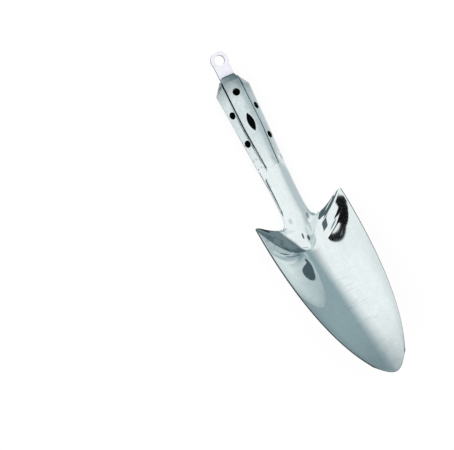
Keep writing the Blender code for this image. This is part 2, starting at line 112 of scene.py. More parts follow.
@titled
class TrowelBlade(bpy.types.PropertyGroup):
    """The scoop and the frog."""

    sheet: length("Thickness of the blade's steel", 1.3)
    horn_x: length("Place of the shoulders' points along the handle", -34.6)
    horn_half_width: length("From the middle to a shoulder's point", 40.8)
    horn_z: length("Height of the shoulders' points", 15.2)
    horn_rounding: length("How far the corner of a shoulder is rounded", 2.4)
    horn_station: length("Where the horns' section crosses the middle", -9.0)
    tip_x: length("Place of the tip along the handle", 117.1)
    tip_z: length("Height of the tip", 61.2)
    rim_sag: length("How far the rim bows below a straight line", 7.6)
    outline_power: number("How late the blade narrows", 2.3)
    outline_roundness: number("How round the tip is", 0.57)
    wall_flatness: number("How flat the scoop's walls are towards the rim", 0.3)
    tip_bow: number("How the tip's arc bows, where 2 is a parabola", 1.8)
    tip_arc_start: number("Where on the outline the tip's arc starts", 0.93)
    notch_x: length("Bottom of the notch beside the frog", -22.6)
    notch_station: length("Where the notch's section crosses the middle", -16.0)
    notch_half_width: length("From the middle to the notch", 18.3)
    notch_z: length("Height of the notch's edge", 0.0)
    shoulder_hollow: number("How hollow the shoulders' edges are", 1.5)
    floor_z: length("Height of the scoop's floor under the frog", -9.0)
    bend_start: length("Where the floor starts to rise", -1.5)
    bend_end: length("Where the floor's bend ends", 6.0)
    floor_slope: number("Slope of the floor after its bend", 0.64)
    frog_half_width: length("Half width of the frog beside the notch", 19.0)
    frog_height: length("Height of the frog beside the notch", 9.8)
    nose_start: length("Where the frog's nose starts to round off", -6.0)
    nose_end: length("Where the frog's nose ends", 3.0)
    nose_half_width: length("Half width of the frog at its nose", 9.0)
    nose_height: length("Height of the frog at its nose", 4.0)
    frog_flank: number("How the frog's flanks round over", 1.2)
    merge_length: length("How far the frog and the neck run into each other", 12.0)


@titled
class TrowelShank(bpy.types.PropertyGroup):
    """The rolled neck between the scoop and the grip."""

    centre_z: length("Height of the shank's centre", -2.8)
    waist_x: length("Where the shank is slimmest", -56.0)
    waist_half_width: length("Half width at the waist", 12.9)
    waist_edge_half_width: length("Half width of the waist's front", 6.4)
    waist_front: length("Height of the waist's front", 1.7)
    waist_edge_drop: length("How far the waist's front edges lie lower", 0.5)
    waist_facet_slope: number("Slope of the waist's sides", 0.6)
    waist_back: length("Height of the waist's back", -8.8)
    mouth_sharpness: number("How sharp the section's edges are at the grip", 16)
    waist_sharpness: number("How sharp the section's edges are at the waist", 8)
    wrap: turn("How far the sheet wraps round on each side", 170)
    flare_wrap: turn("How far it still wraps where it meets the blade", 100)
    wrap_opens: length("Where the rolled sheet starts to open", -62.0)
    flare_start: length("Where the shank starts to flare into the blade", -38.0)
    tang_end: length("The tang's end inside the grip", -97.5)
    tang_step_start: length("Where the step at the grip's mouth starts", -76.2)
    tang_step_end: length("Where the step at the grip's mouth ends", -76.0)
    tang_inset: length("How far the tang lies inside the shank's section", 1.25)
    tang_front_inset: length("The same under the front panel", 3.1)


@titled
class TrowelGrip(bpy.types.PropertyGroup):
    """The hollow grip: a back shell and a raised front panel."""

    sheet: length("Thickness of the grip's steel", 0.9)
    mouth_x: length("Where the grip meets the shank", -76.0)
    heel_x: length("Where the grip is widest", -152.0)
    end_x: length("The tapered end of the shell", -161.5)
    mouth_half_width: length("Half width at the mouth", 13.4)
    heel_half_width: length("Half width at the heel", 16.6)
    mouth_front: length("Height of the front at the mouth", 3.2)
    heel_front: length("Height of the front at the heel", 4.2)
    mouth_back: length("Height of the back at the mouth", -11.4)
    heel_back: length("Height of the back at the heel", -19.0)
    facet_slope: number("Slope of the two facets beside the panel", 0.8693)
    back_flat: number("Share of the width that is flat at the back", 0.4)
    back_radius: length("Rounding of the back's edges", 3.0)
    widest_radius: length("Rounding at the widest place", 1.0)
    panel_half_width: length("Half width of the front panel", 7.8)
    panel_mouth_half_width: length("Half width of the panel at the mouth", 5.7)
    panel_taper_x: length("Where the panel starts to narrow", -114.0)
    panel_edge_drop: length("How far the panel's edges lie lower", 0.8)
    panel_step: length("Height of the panel above the facets at the heel", 1.0)
    panel_mouth_step: length("The same at the mouth", 0.3)
    panel_flange: length("Depth of the panel's flange at the heel", 3.2)
    panel_mouth_flange: length("Depth of the flange at the mouth", 0.9)
    panel_edge_radius: length("Rounding of the panel's edges", 0.8)
    seam_gap: length("Gap between the panel and a facet", 1.2)
    dome_start: length("Where the panel's end starts to round down", -156.5)
    dome_end: length("The end of the panel's dome", -164.5)
    dome_half_width: length("Half width of the dome's lip", 5.3)
    dome_z: length("Height of the dome's lip", 1.6)
    dome_lip: length("Depth of the dome's lip", 0.9)
    end_half_width: length("Half width of the opening at the end", 9.0)
    end_top: length("Top of the opening's sides", 1.0)
    end_side: length("Where the opening's sides start to narrow", -1.2)
    end_lip: length("Height of the lip under the tab", -5.4)
    end_lip_half_width: length("Half width of that lip", 7.4)
    panel_hole_x: length("Place of the round hole in the panel", -147.6)
    panel_hole: length("Diameter of the round hole", 6.8)
    lens_x: length("Place of the lens-shaped slot", -118.5)
    lens_length: length("Length of the slot", 17.5)
    lens_width: length("Width of the slot", 6.0)
    side_hole_back_x: length("Place of the side holes near the heel", -130.5)
    side_hole_front_x: length("Place of the side holes near the mouth", -102.4)
    side_hole_length: length("Length of a side hole", 6.6)
    side_hole_width: length("Width of a side hole", 5.6)
    side_hole_place: number("Where the holes lie across a facet", 0.4)
    ear_x: length("Place of the pin that carries the tab", -154.5)
    ear_z: length("Height of the pin", -4.0)
    ear_radius: length("Radius of the ears that hold the pin", 3.0)
    ear_sheet: length("Thickness of an ear", 1.0)
    ear_bore: length("Diameter of the bore for the pin", 3.4)


@titled
class TrowelTab(bpy.types.PropertyGroup):
    """The hanging tab."""

    rest_angle: turn("How far the tab stands up from the handle's line", 9)
    thickness: length("Thickness of the tab", 3.0)
    barrel: length("Diameter of the barrel round the pin", 6.4)
    base_half_width: length("Half width beside the pin", 6.4)
    neck_half_width: length("Half width where the ring starts", 7.3)
    reach: length("From the pin to the middle of the ring", 25.6)
    ring_radius: length("Outer radius of the ring", 7.9)
    hole: length("Diameter of the hanging hole", 9.2)
    edge: length("Rounding of the tab's edges", 0.5)


@titled
class TrowelFinish(bpy.types.PropertyGroup):
    """Colours and polish."""

    steel: colour("Polished steel of the blade and shank", 0.86, 0.90, 0.90)
    grip_steel: colour("Polished steel of the grip", 0.78, 0.83, 0.84)
    shade: colour("Cooler tone of the steel in its patches", 0.56, 0.64, 0.66)
    edge: colour("Cut edges of the blade's sheet", 0.16, 0.19, 0.20)
    # Also the colour of the painted shade and the painted dark reflection on the blade
    dull: colour("Steel that has lost its shine", 0.12, 0.18, 0.20)
    # Painted shade: the inside's near-black colour stands in for the shade within the hollow grip
    inside: colour("Unpolished steel inside the grip", 0.035, 0.038, 0.04)
    pin: colour("Plain steel of the pin", 0.40, 0.42, 0.43)
    plastic: colour("Milky plastic of the tab", 0.83, 0.83, 0.90)
    polish: number("Roughness of the best polished steel", 0.035)
    wear: number("How much the roughness rises where the steel is worn", 0.10)


@titled
class TrowelStudio(bpy.types.PropertyGroup):
    """Camera, lamps and background."""

    view_down: turn("How far the view leans from the front towards the tip", 10)
    view_side: turn("How far the view leans to the right", 3)
    view_roll: turn("How far the camera is turned", 26.4)
    distance: length("From the camera to the trowel", 700)
    scale: number("Millimetres to a pixel of a picture 454 pixels wide", 0.855)
    target_x: length("Point in the middle of the picture", -47.1)
    target_y: length("Point in the middle of the picture", -58.9)
    level: number("Strength of the world's light on dull surfaces", 0.75)
    lamp: number("Power of the soft lamp on the left, in watts", 9.0)
    disc_place: point("Place of the small dark disc", -31, 35.3, 69)
    disc_radius: length("Radius of the small dark disc", 10.2)
    picture_width: count("Width of the picture in pixels", 454)


GROUPS = {
    "trowel_blade": TrowelBlade,
    "trowel_shank": TrowelShank,
    "trowel_grip": TrowelGrip,
    "trowel_tab": TrowelTab,
    "trowel_finish": TrowelFinish,
    "trowel_studio": TrowelStudio,
}


def sizes_of(group):
    """The group's values by key, with lengths in millimetres."""
    values = {}
    for item in group.bl_rna.properties:
        if item.identifier not in ("rna_type", "name"):
            value = getattr(group, item.identifier)
            values[item.identifier] = value / MM if item.unit == "LENGTH" else value
    return values


def measures(group):
    """The same, to be read with a dot."""
    return SimpleNamespace(**sizes_of(group))


# Node trees


class Socket:
    """A node's output that can be used in sums: an expression on sockets adds its Math nodes."""

    def __init__(self, tree, socket):
        self.tree = tree
        self.socket = socket

    def maths(self, operation, *values, clamp=False):
        inputs = dict(enumerate(values))
        return self.tree.add("ShaderNodeMath", inputs, operation=operation, use_clamp=clamp)

    def __add__(self, other):
        return self.maths("ADD", self, other)

    __radd__ = __add__

    def __sub__(self, other):
        return self.maths("SUBTRACT", self, other)

    def __rsub__(self, other):
        return self.maths("SUBTRACT", other, self)

    def __mul__(self, other):
        return self.maths("MULTIPLY", self, other)

    __rmul__ = __mul__

    def __truediv__(self, other):
        return self.maths("DIVIDE", self, other)

    def __rtruediv__(self, other):
        return self.maths("DIVIDE", other, self)

    def __pow__(self, other):
        return self.maths("POWER", self, other)

    def __neg__(self):
        return self.maths("MULTIPLY", self, -1)

    def __abs__(self):
        return self.maths("ABSOLUTE", self)

    def __lt__(self, other):
        return self.maths("LESS_THAN", self, other)

    def output(self, name):
        """Another output of the same node."""
        return Socket(self.tree, self.socket.node.outputs[name])


class Tree:
    """A node tree with one way to add any node."""

    def __init__(self, tree):
        self.tree = tree

    def plug(self, slot, value):
        if isinstance(value, list):
            for item in value:
                self.plug(slot, item)
        elif isinstance(value, Socket):
            self.tree.links.new(value.socket, slot)
        else:
            slot.default_value = value

    def feed(self, node, inputs):
        """Sets or links a node's inputs by name or place."""
        for name, value in inputs.items():
            self.plug(node.inputs[name], value)

    def add(self, kind, inputs=None, output=0, **settings):
        """Adds a node with its settings, then its inputs by name or place. Gives one output."""
        node = self.tree.nodes.new(kind)
        for name, value in settings.items():
            setattr(node, name, value)
        self.feed(node, inputs or {})
        return Socket(self, node.outputs[output]) if node.outputs else None

    def split(self, vector):
        made = self.add("ShaderNodeSeparateXYZ", {0: vector})
        return made, made.output("Y"), made.output("Z")

    def join(self, x, y, z):
        return self.add("ShaderNodeCombineXYZ", {0: x, 1: y, 2: z})

    def tint(self, first, second, share):
        """A colour between two colours."""
        inputs = {0: share, 6: first, 7: second}
        return self.add("ShaderNodeMix", inputs, 2, data_type="RGBA")


class ShapeTree(Tree):
    """A geometry node tree whose sizes are named inputs."""

    def __init__(self, name, sizes, takes_geometry=False):
        super().__init__(bpy.data.node_groups.new(name, "GeometryNodeTree"))
        face = self.tree.interface
        face.new_socket("Geometry", in_out="OUTPUT", socket_type="NodeSocketGeometry")
        if takes_geometry:
            face.new_socket("Geometry", in_out="INPUT", socket_type="NodeSocketGeometry")
        self.values = {}
        for key, value in sizes.items():
            item = face.new_socket(title(key), in_out="INPUT", socket_type="NodeSocketFloat")
            item.default_value = value
            self.values[item.identifier] = value
        entry = self.tree.nodes.new("NodeGroupInput")
        sockets = {key: Socket(self, entry.outputs[title(key)]) for key in sizes}
        self.sizes = SimpleNamespace(**sockets)
        if takes_geometry:
            self.geometry = Socket(self, entry.outputs["Geometry"])

    def cut(self, geometry, tools):
        inputs = {"Mesh 1": geometry, "Mesh 2": tools}
        return self.add("GeometryNodeMeshBoolean", inputs, operation="DIFFERENCE", solver="EXACT")

    def place(self, geometry, where):
        inputs = {"Geometry": geometry, "Position": where}
        return self.add("GeometryNodeSetPosition", inputs)

    def finish(self, geometry, material):
        """Ends the tree with real, smooth geometry in one material."""
        real = self.add("GeometryNodeRealizeInstances", {0: geometry})
        inputs = {"Geometry": real, "Material": material}
        painted = self.add("GeometryNodeSetMaterial", inputs)
        self.add("NodeGroupOutput", {0: painted})

    def apply_to(self, obj):
        """Runs the tree on the object and keeps the result as its plain mesh."""
        modifier = obj.modifiers.new(self.tree.name, "NODES")
        modifier.node_group = self.tree
        for identifier, value in self.values.items():
            modifier[identifier] = float(value)
        keep_result(obj)


def mix(start, end, share):
    return start + (end - start) * share


def away_squared(x, y, middle, spread):
    """The squared distance in plan from a mark's middle, where its spread is one."""
    off_x = (x - middle[0]) / spread[0]
    off_y = (y - middle[1]) / spread[1]
    return off_x * off_x + off_y * off_y


def mix_points(start, end, share):
    return tuple(mix(a, b, share) for a, b in zip(start, end))


def clamped(value):
    if isinstance(value, Socket):
        return value.maths("ADD", value, 0, clamp=True)
    return min(1.0, max(0.0, value))


def share_of(value, start, end):
    """How far the value is on its way from start to end, kept between 0 and 1."""
    return clamped((value - start) / (end - start))


def eased(share):
    return share * share * (3 - 2 * share)


# Objects


def keep_result(obj):
    """Replaces the object's mesh and modifiers by the mesh that they give."""
    bpy.context.view_layer.update()
    graph = bpy.context.evaluated_depsgraph_get()
    mesh = bpy.data.meshes.new_from_object(obj.evaluated_get(graph))
    obj.modifiers.clear()
    obj.data = mesh
    mesh.name = obj.name


def object_from(name, mesh, *materials):
    obj = bpy.data.objects.new(name, mesh)
    bpy.context.scene.collection.objects.link(obj)
    for material in materials:
        mesh.materials.append(material)
    return obj


def sheet_from(name, rows, *materials):
    """A surface through rows of points in millimetres."""
    mesh = bpy.data.meshes.new(name)
    width = len(rows[0])
    faces = []
    for i in range(len(rows) - 1):
        for j in range(width - 1):
            first = i * width + j
            faces.append((first, first + width, first + width + 1, first + 1))
    mesh.from_pydata([[value * MM for value in point] for row in rows for point in row], [], faces)
    return object_from(name, mesh, *materials)


def thicken(obj, thickness, inner_material=0, rim_material=0):
    solidify = obj.modifiers.new("Sheet", "SOLIDIFY")
    solidify.thickness = thickness * MM
    solidify.offset = -1
    solidify.material_offset = inner_material
    solidify.material_offset_rim = rim_material


def soften(obj, width, angle, segments=2, smooth=None):
    """Rounds the edges sharper than an angle, and keeps those above another one crisp."""
    bevel = obj.modifiers.new("Edges", "BEVEL")
    bevel.limit_method = "ANGLE"
    bevel.angle_limit = math.radians(angle)
    bevel.width = width * MM
    bevel.segments = segments
    bevel.harden_normals = False
    keep_result(obj)
    if smooth:
        obj.data.shade_smooth()
        obj.data.set_sharp_from_angle(angle=math.radians(smooth))


def cut(obj, tool, operation="DIFFERENCE"):
    modifier = obj.modifiers.new(tool.name, "BOOLEAN")
    modifier.operation = operation
    modifier.solver = "EXACT"
    modifier.object = tool


def drop(*objects):
    for obj in objects:
        bpy.data.objects.remove(obj)


def at(x, y, z):
    """A place given in millimetres."""
    return Vector((x, y, z)) * MM


# How far the handle's line leans from the ground that the trowel lies on
REST_TILT = math.radians(3.5642)


def laid_down(grip):
    """The place of the trowel's own frame in the world: lying on its heel and its belly."""
    rest = Vector(frame["joints"][0]["pos_m"])
    turned = Matrix.Rotation(REST_TILT, 4, "Y")
    return Matrix.Translation(rest - turned @ at(grip.ear_x, 0, grip.ear_z)) @ turned


def settle(obj, place, body, slot, *nodes):
    """Moves the piece's mesh to its place and hangs it on its body, in place of the plain nodes."""
    obj.data.transform(place)
    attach(obj, body)
    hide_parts(*nodes)


# Finishes


def start_material(name):
    """A material, its shader and its tree."""
    material = bpy.data.materials.new(name)
    material.use_nodes = True
    nodes = material.node_tree.nodes
    return material, nodes["Principled BSDF"], Tree(material.node_tree)


def start_finish(name, place, **constants):
    """A material with its constants set, and coordinates in metres with X along the handle."""
    material, shader, tree = start_material(name)
    tree.feed(shader, {key.replace("_", " ").title(): value for key, value in constants.items()})
    location, rotation, _ = place.decompose()
    here = tree.add("ShaderNodeTexCoord").output("Object")
    inputs = {"Vector": here, "Location": location, "Rotation": rotation.to_euler()}
    here = tree.add("ShaderNodeMapping", inputs, vector_type="TEXTURE")
    return material, shader, tree, here


def noise(tree, where, scale, detail=2.0, stretch=None, roughness=0.5):
    if stretch:
        where = tree.add("ShaderNodeMapping", {"Vector": where, "Scale": stretch})
    inputs = {"Vector": where, "Scale": scale, "Detail": detail, "Roughness": roughness}
    return tree.add("ShaderNodeTexNoise", inputs)


def opaque(shade, strength=1.0):
    """The colour as a node takes it, made darker where the strength is below one."""
    return (*(value * strength for value in shade), 1)


# Pinch marks that the press left round the nose: place, spread and height in millimetres
FROG_PINCHES = (
    ((-9.8, -2.4), (2.6, 0.9), -0.9),
    ((-6.4, 1.6), (2.4, 1.0), -0.9),
    ((-7.9, -0.5), (2.6, 1.0), 0.5),
    ((-25.8, -7.7), (2.2, 1.4), -0.5),
    ((-24.0, 8.6), (2.4, 1.3), -0.9),
    ((-17.0, 6.8), (9.0, 1.7), -0.9),
)
# Painted shade in the deepest of them: place and spread in millimetres, and strength
FROG_PAINTED_SHADE = (
    ((-9.8, -2.4), (2.5, 0.8), 1.2),
    ((-6.4, 1.8), (2.3, 1.2), 1.2),
    ((-24.0, 8.6), (2.8, 1.2), 0.7),
    ((-25.8, -7.7), (2.4, 1.4), 0.35),
    ((-17.0, 6.6), (6.5, 1.0), 0.3),
)
# Where the grip's worn finish gives way to the neck's cleaner one, in metres along the handle
NECK_FROM, NECK_TO = -0.105, -0.077
# How worn the neck and the blade are, where the grip is 1, and how wavy their sheets are
CLEAN_WEAR = 0.35
BLADE_WAVES, GRIP_WAVES = 0.05, 0.6
# Where the scratches across the scoop's floor set in
SCRATCHES_FROM, SCRATCHES_TO = 0.025, 0.045
# Depth of those scratches, and height of the waves in the pressed sheet, in metres
SCRATCH_DEPTH = 0.000030
WAVE_HEIGHT = 0.00010


def polished_steel(name, place, shade, finish, dulling_and_painted_shade, wear, waves):
    """Mirror polish with cooler patches, fine hair scratches, the waves of pressed sheet, and a
    darker colour where the given mask says, which holds painted shade on the blade.
    """
    material, shader, tree, here = start_finish(name, place, metallic=1.0)
    x, _, _ = tree.split(here)
    cross_hairs = noise(tree, here, 1.0, 1.0, (1500, 55, 55))
    cross = clamped((cross_hairs - 0.64) * 8) * share_of(x, SCRATCHES_FROM, SCRATCHES_TO)
    patches = clamped(noise(tree, here, 28.0, 3.0) * 3.0 - 1.0)
    flecks = clamped(noise(tree, here, 420.0, 3.0, roughness=0.6) * 3.2 - 1.3)
    grain = noise(tree, here, 1.0, 2.0, (9, 150, 150))
    neck = share_of(x, NECK_FROM, NECK_TO)
    worn_here = mix(wear, CLEAN_WEAR, neck)
    share = patches * (0.35 * worn_here) + flecks * 0.6 * worn_here + (grain - 0.5) * 0.4
    base = tree.tint(opaque(shade), opaque(finish.steel), neck)
    base = tree.tint(base, opaque(finish.shade), clamped(share + cross * 0.55))
    # Darker where the given mask says: dulled steel towards the grip's heel; on the blade, darker
    # rims and tip, painted shade in the pinch marks and a painted dark reflection under the left
    # shoulder
    base = tree.tint(base, opaque(finish.dull), dulling_and_painted_shade(tree, here))

    long_hairs = noise(tree, here, 1.0, 1.0, (60, 2600, 2600))
    hairs = clamped((long_hairs - 0.62) * 8) * (0.3 * wear) + cross
    worn = clamped(noise(tree, here, 75.0, 4.0, roughness=0.65) * 2.4 - 0.85)
    roughness = finish.polish + finish.wear * wear**2 * worn + hairs * 0.08

    height = noise(tree, here, 55.0, 1.0) * (WAVE_HEIGHT * waves) - cross * SCRATCH_DEPTH
    bump = tree.add("ShaderNodeBump", {"Height": height, "Distance": 1.0, "Strength": 0.5})
    tree.feed(shader, {"Base Color": base, "Roughness": roughness, "Normal": bump})
    return material


def blade_darkening_and_painted_shade(tree, here):
    """Where the blade is darker: towards the rims and the tip, a painted dark reflection under the
    left shoulder, and painted shade in the frog's pinch marks.
    """
    x, y, _ = (value / MM for value in tree.split(here))
    across = tree.add("ShaderNodeAttribute", None, "Fac", attribute_name="across")
    ragged = noise(tree, here, 180.0, 3.0) * 0.5 + 0.5
    rim = eased(share_of(across, 0.72, 1.0)) * share_of(x, -20, 40) * 0.28
    tip = eased(share_of(x, 68, 118)) * 0.48
    # A painted dark reflection under the left shoulder, standing in for the frog mirrored in the
    # scoop's wall: it lies between a curve along its far side and a straight line beside the frog
    aside = abs(y) - 5
    painted_dark_reflection = share_of(3 - aside * aside * 0.025 - x, -0.6, 0.6)
    painted_dark_reflection = painted_dark_reflection * share_of(x * 0.6 - 6.5 - y, -0.8, 1.6) * (y < 0)
    share = (rim + tip) * ragged + painted_dark_reflection * 0.9
    # Painted shade in the deepest pinch marks round the frog
    for middle, spread, strength in FROG_PAINTED_SHADE:
        share = share + clamped(1.6 - away_squared(x, y, middle, spread)) * strength
    return clamped(share)


def dulled_grip(tree, here):
    """Where the grip has lost its shine: towards its heel."""
    x, _, _ = tree.split(here)
    ragged = noise(tree, here, 160.0, 3.0) * 0.8 + 0.6
    return clamped(eased(share_of(-x, 0.138, 0.163)) * 0.72 * ragged)


def grip_finishes(name, place, finish):
    """The polished outside and the unpolished inside of the grip's sheet, whose near-black colour
    is painted shade.
    """
    steel = polished_steel(name, place, finish.grip_steel, finish, dulled_grip, 1.0, GRIP_WAVES)
    material, shader, tree, here = start_finish("Dull inside", place, metallic=0.6)
    grime = noise(tree, here, 120.0, 4.0)
    # Painted shade: the inside is coloured near black for the shade within the hollow grip, with
    # random grime on it
    base = tree.tint(opaque(finish.inside), opaque(finish.inside, 0.45), grime)
    tree.feed(shader, {"Base Color": base, "Roughness": 0.55 + 0.3 * grime})
    return steel, material


def sheared_steel(place, finish):
    """The narrow edges where the sheet was cut: darker, with the streaks of the shears."""
    material, shader, tree, here = start_finish("Sheared steel", place, metallic=1.0)
    streaks = noise(tree, here, 900.0, 2.0)
    base = tree.tint(opaque(finish.edge), opaque(finish.edge, 0.6), streaks)
    tree.feed(shader, {"Base Color": base, "Roughness": 0.3 + 0.2 * streaks})
    return material


def milky_plastic(place, finish, thickness):
    """The tab's plastic: see-through, with painted shade on its walls for the dark outlines of its
    edges, with flow marks and a moulded skin.
    """
    material, shader, tree, here = start_finish("Milky plastic", place, transmission_weight=0.25)
    shader.inputs["IOR"].default_value = 1.46
    cloud = noise(tree, here, 90.0, 3.0)
    _, _, height = tree.split(here)
    flat = share_of(abs(height) / MM, thickness / 2 - 0.3, thickness / 2 - 0.02)
    base = tree.tint(opaque(finish.plastic), opaque(finish.plastic, 0.93), cloud)
    # Painted shade: the walls, off the flat faces, take a darker copy of the plastic's colour in
    # place of the dark outlines of its edges
    base = tree.tint(opaque(finish.plastic, 0.3), base, flat)
    skin = noise(tree, here, 900.0, 2.0) * 0.000004
    bump = tree.add("ShaderNodeBump", {"Height": skin, "Distance": 1.0})
    tree.feed(shader, {"Base Color": base, "Roughness": 0.30 + 0.16 * cloud, "Normal": bump})
    return material


def plain_pin_steel(place, finish):
    """Plain steel with the fine lines along which it was drawn."""
    material, shader, tree, here = start_finish("Pin steel", place, metallic=1.0)
    drawn = noise(tree, here, 1.0, 2.0, (3000, 120, 3000))
    base = tree.tint(opaque(finish.pin), opaque(finish.pin, 0.7), drawn)
    tree.feed(shader, {"Base Color": base, "Roughness": 0.28 + 0.2 * drawn})
    return material


# The handle's outline, shared by the shank and the grip


def panel_width(grip, x):
    """Half of the front panel's width, which narrows towards the mouth."""
    share = share_of(x, grip.mouth_x, grip.panel_taper_x)
    return mix(grip.panel_mouth_half_width, grip.panel_half_width, share)


def handle_section(shank, grip, x):
    """The right half of the handle's outline at x.

    It gives the front's height, the facet's edge beside the front as y and z, the widest place as
    y and z, and the back's height.
    """
    share = share_of(x, grip.mouth_x, grip.heel_x)
    waist = eased(share_of(x, grip.mouth_x, shank.waist_x))
    wide = mix(grip.mouth_half_width, grip.heel_half_width, share)
    wide = mix(wide, shank.waist_half_width, waist)
    front = mix(mix(grip.mouth_front, grip.heel_front, share), shank.waist_front, waist)
    back = mix(mix(grip.mouth_back, grip.heel_back, share), shank.waist_back, waist)
    drop_here = grip.panel_edge_drop + mix(grip.panel_mouth_step, grip.panel_step, share)
    edge_z = front - mix(drop_here, shank.waist_edge_drop, waist)
    edge_y = mix(panel_width(grip, x) + grip.seam_gap, shank.waist_edge_half_width, waist)
    slope = mix(grip.facet_slope, shank.waist_facet_slope, waist)
    return front, edge_y, edge_z, wide, edge_z - (wide - edge_y) * slope, back


# Blade and shank


def rim_point(blade, share):
    """The right rim from the horn at 0 to the tip at 1."""
    narrow = (1 - share**blade.outline_power) ** blade.outline_roundness
    sag = blade.rim_sag * share * (1 - share)
    x = mix(blade.horn_x, blade.tip_x, share)
    return x, blade.horn_half_width * narrow, mix(blade.horn_z, blade.tip_z, share) - sag


def shoulder_point(blade, share):
    """The shoulder's edge from the notch beside the frog at 0 to the horn at 1."""
    x = mix(blade.notch_x, blade.horn_x, share**blade.shoulder_hollow)
    y = mix(blade.notch_half_width, blade.horn_half_width, share)
    return x, y, mix(blade.notch_z, blade.horn_z, share)


def edge_point(blade, station):
    """The blade's right edge on the section that crosses the middle at the station."""
    shoulder = shoulder_point(blade, share_of(station, blade.notch_station, blade.horn_station))
    along = blade.tip_arc_start * share_of(station, blade.horn_station, blade.tip_x)
    rim = rim_point(blade, along)
    horn = rim_point(blade, along * 0)
    return tuple(a + b - c for a, b, c in zip(shoulder, rim, horn))


def rounded_edge_point(blade, station):
    """The same edge, with the horn's corner rounded off."""
    past = station - blade.horn_station
    share = clamped((past / blade.horn_rounding + 1) * 0.5)
    start = edge_point(blade, blade.horn_station - blade.horn_rounding)
    corner = edge_point(blade, blade.horn_station)
    end = edge_point(blade, blade.horn_station + blade.horn_rounding)
    into = mix_points(start, corner, share)
    arc = mix_points(into, mix_points(corner, end, share), share)
    near = abs(past) < blade.horn_rounding
    return mix_points(edge_point(blade, station), arc, near)


def floor_height(blade, x):
    """The lowest line of the scoop."""
    bend_length = blade.bend_end - blade.bend_start
    bend = share_of(x, blade.bend_start, blade.bend_end) * bend_length
    height = blade.floor_z + blade.floor_slope * bend * bend / (2 * bend_length)
    whole = blade.tip_x - blade.bend_end
    run = share_of(x, blade.bend_end, blade.tip_x) * whole
    bent = blade.floor_z + blade.floor_slope * bend_length / 2
    left = blade.tip_z - bent - blade.floor_slope * whole
    return height + blade.floor_slope * run + left * (run / whole) ** 2


# Keeps a division from failing where the frog has no width left
NEVER_ZERO = 0.001


def frog_height(blade, x, y):
    """How far the frog stands above the scoop at a place in plan."""
    nose = share_of(x, blade.nose_start, blade.nose_end)
    rounding = (1 - nose * nose) ** 0.5
    back = share_of(x, blade.nose_start, blade.notch_x)
    half_width = mix(blade.nose_half_width, blade.frog_half_width, back) * rounding
    height = mix(blade.nose_height, blade.frog_height, back) * rounding
    across = clamped(abs(y) / (half_width + NEVER_ZERO))
    return height * (1 - across * across) ** blade.frog_flank


def scoop_point(blade, station, across):
    rim_x, rim_y, rim_z = rounded_edge_point(blade, station)
    bowed = across * across
    x = mix(station, rim_x, across**blade.tip_bow)
    y = rim_y * across
    raised = bowed * (1 + blade.wall_flatness * (1 - bowed))
    z = mix(floor_height(blade, station), rim_z, raised)
    return x, y, z + frog_height(blade, x, y)


def shank_point(blade, shank, grip, station, across):
    """A point of the rolled shank, where across runs from its crown to its back seam."""
    front, edge_y, edge_z, wide, wide_z, back = handle_section(shank, grip, station)
    tang = 1 - share_of(station, shank.tang_step_start, shank.tang_step_end)
    facet = (edge_z - wide_z, wide - edge_y)
    rear = (wide_z - back, wide * (grip.back_flat - 1))
    reaches = []
    opening = eased(share_of(station, shank.wrap_opens, blade.notch_x))
    angle = mix(shank.wrap, shank.flare_wrap, opening) * across
    sine = angle.maths("SINE", angle)
    cosine = angle.maths("COSINE", angle)
    reaches.append(cosine / (front - shank.centre_z - tang * shank.tang_front_inset))
    reaches.append(-cosine / (shank.centre_z - back - tang * shank.tang_inset))
    for normal_y, normal_z in (facet, rear):
        size = (normal_y * normal_y + normal_z * normal_z) ** 0.5
        away = (normal_y * wide + normal_z * (wide_z - shank.centre_z)) / size
        away = away - tang * shank.tang_inset
        reaches.append((normal_y * sine + normal_z * cosine) / size / away)
        reaches.append((normal_z * cosine - normal_y * sine) / size / away)
    waist = share_of(station, grip.mouth_x, shank.waist_x)
    sharpness = mix(shank.mouth_sharpness, shank.waist_sharpness, waist)
    total = 0
    for reach in reaches:
        total = reach.maths("MAXIMUM", reach, 0) ** sharpness + total
    radius = total ** (-1 / sharpness)
    return station, radius * sine, shank.centre_z + radius * cosine


# What the shank needs to know of the grip
SHARED_GRIP_SIZES = (
    "mouth_x heel_x mouth_half_width heel_half_width mouth_front heel_front mouth_back heel_back "
    "facet_slope back_flat panel_half_width panel_mouth_half_width panel_taper_x panel_edge_drop "
    "panel_step panel_mouth_step seam_gap"
).split()


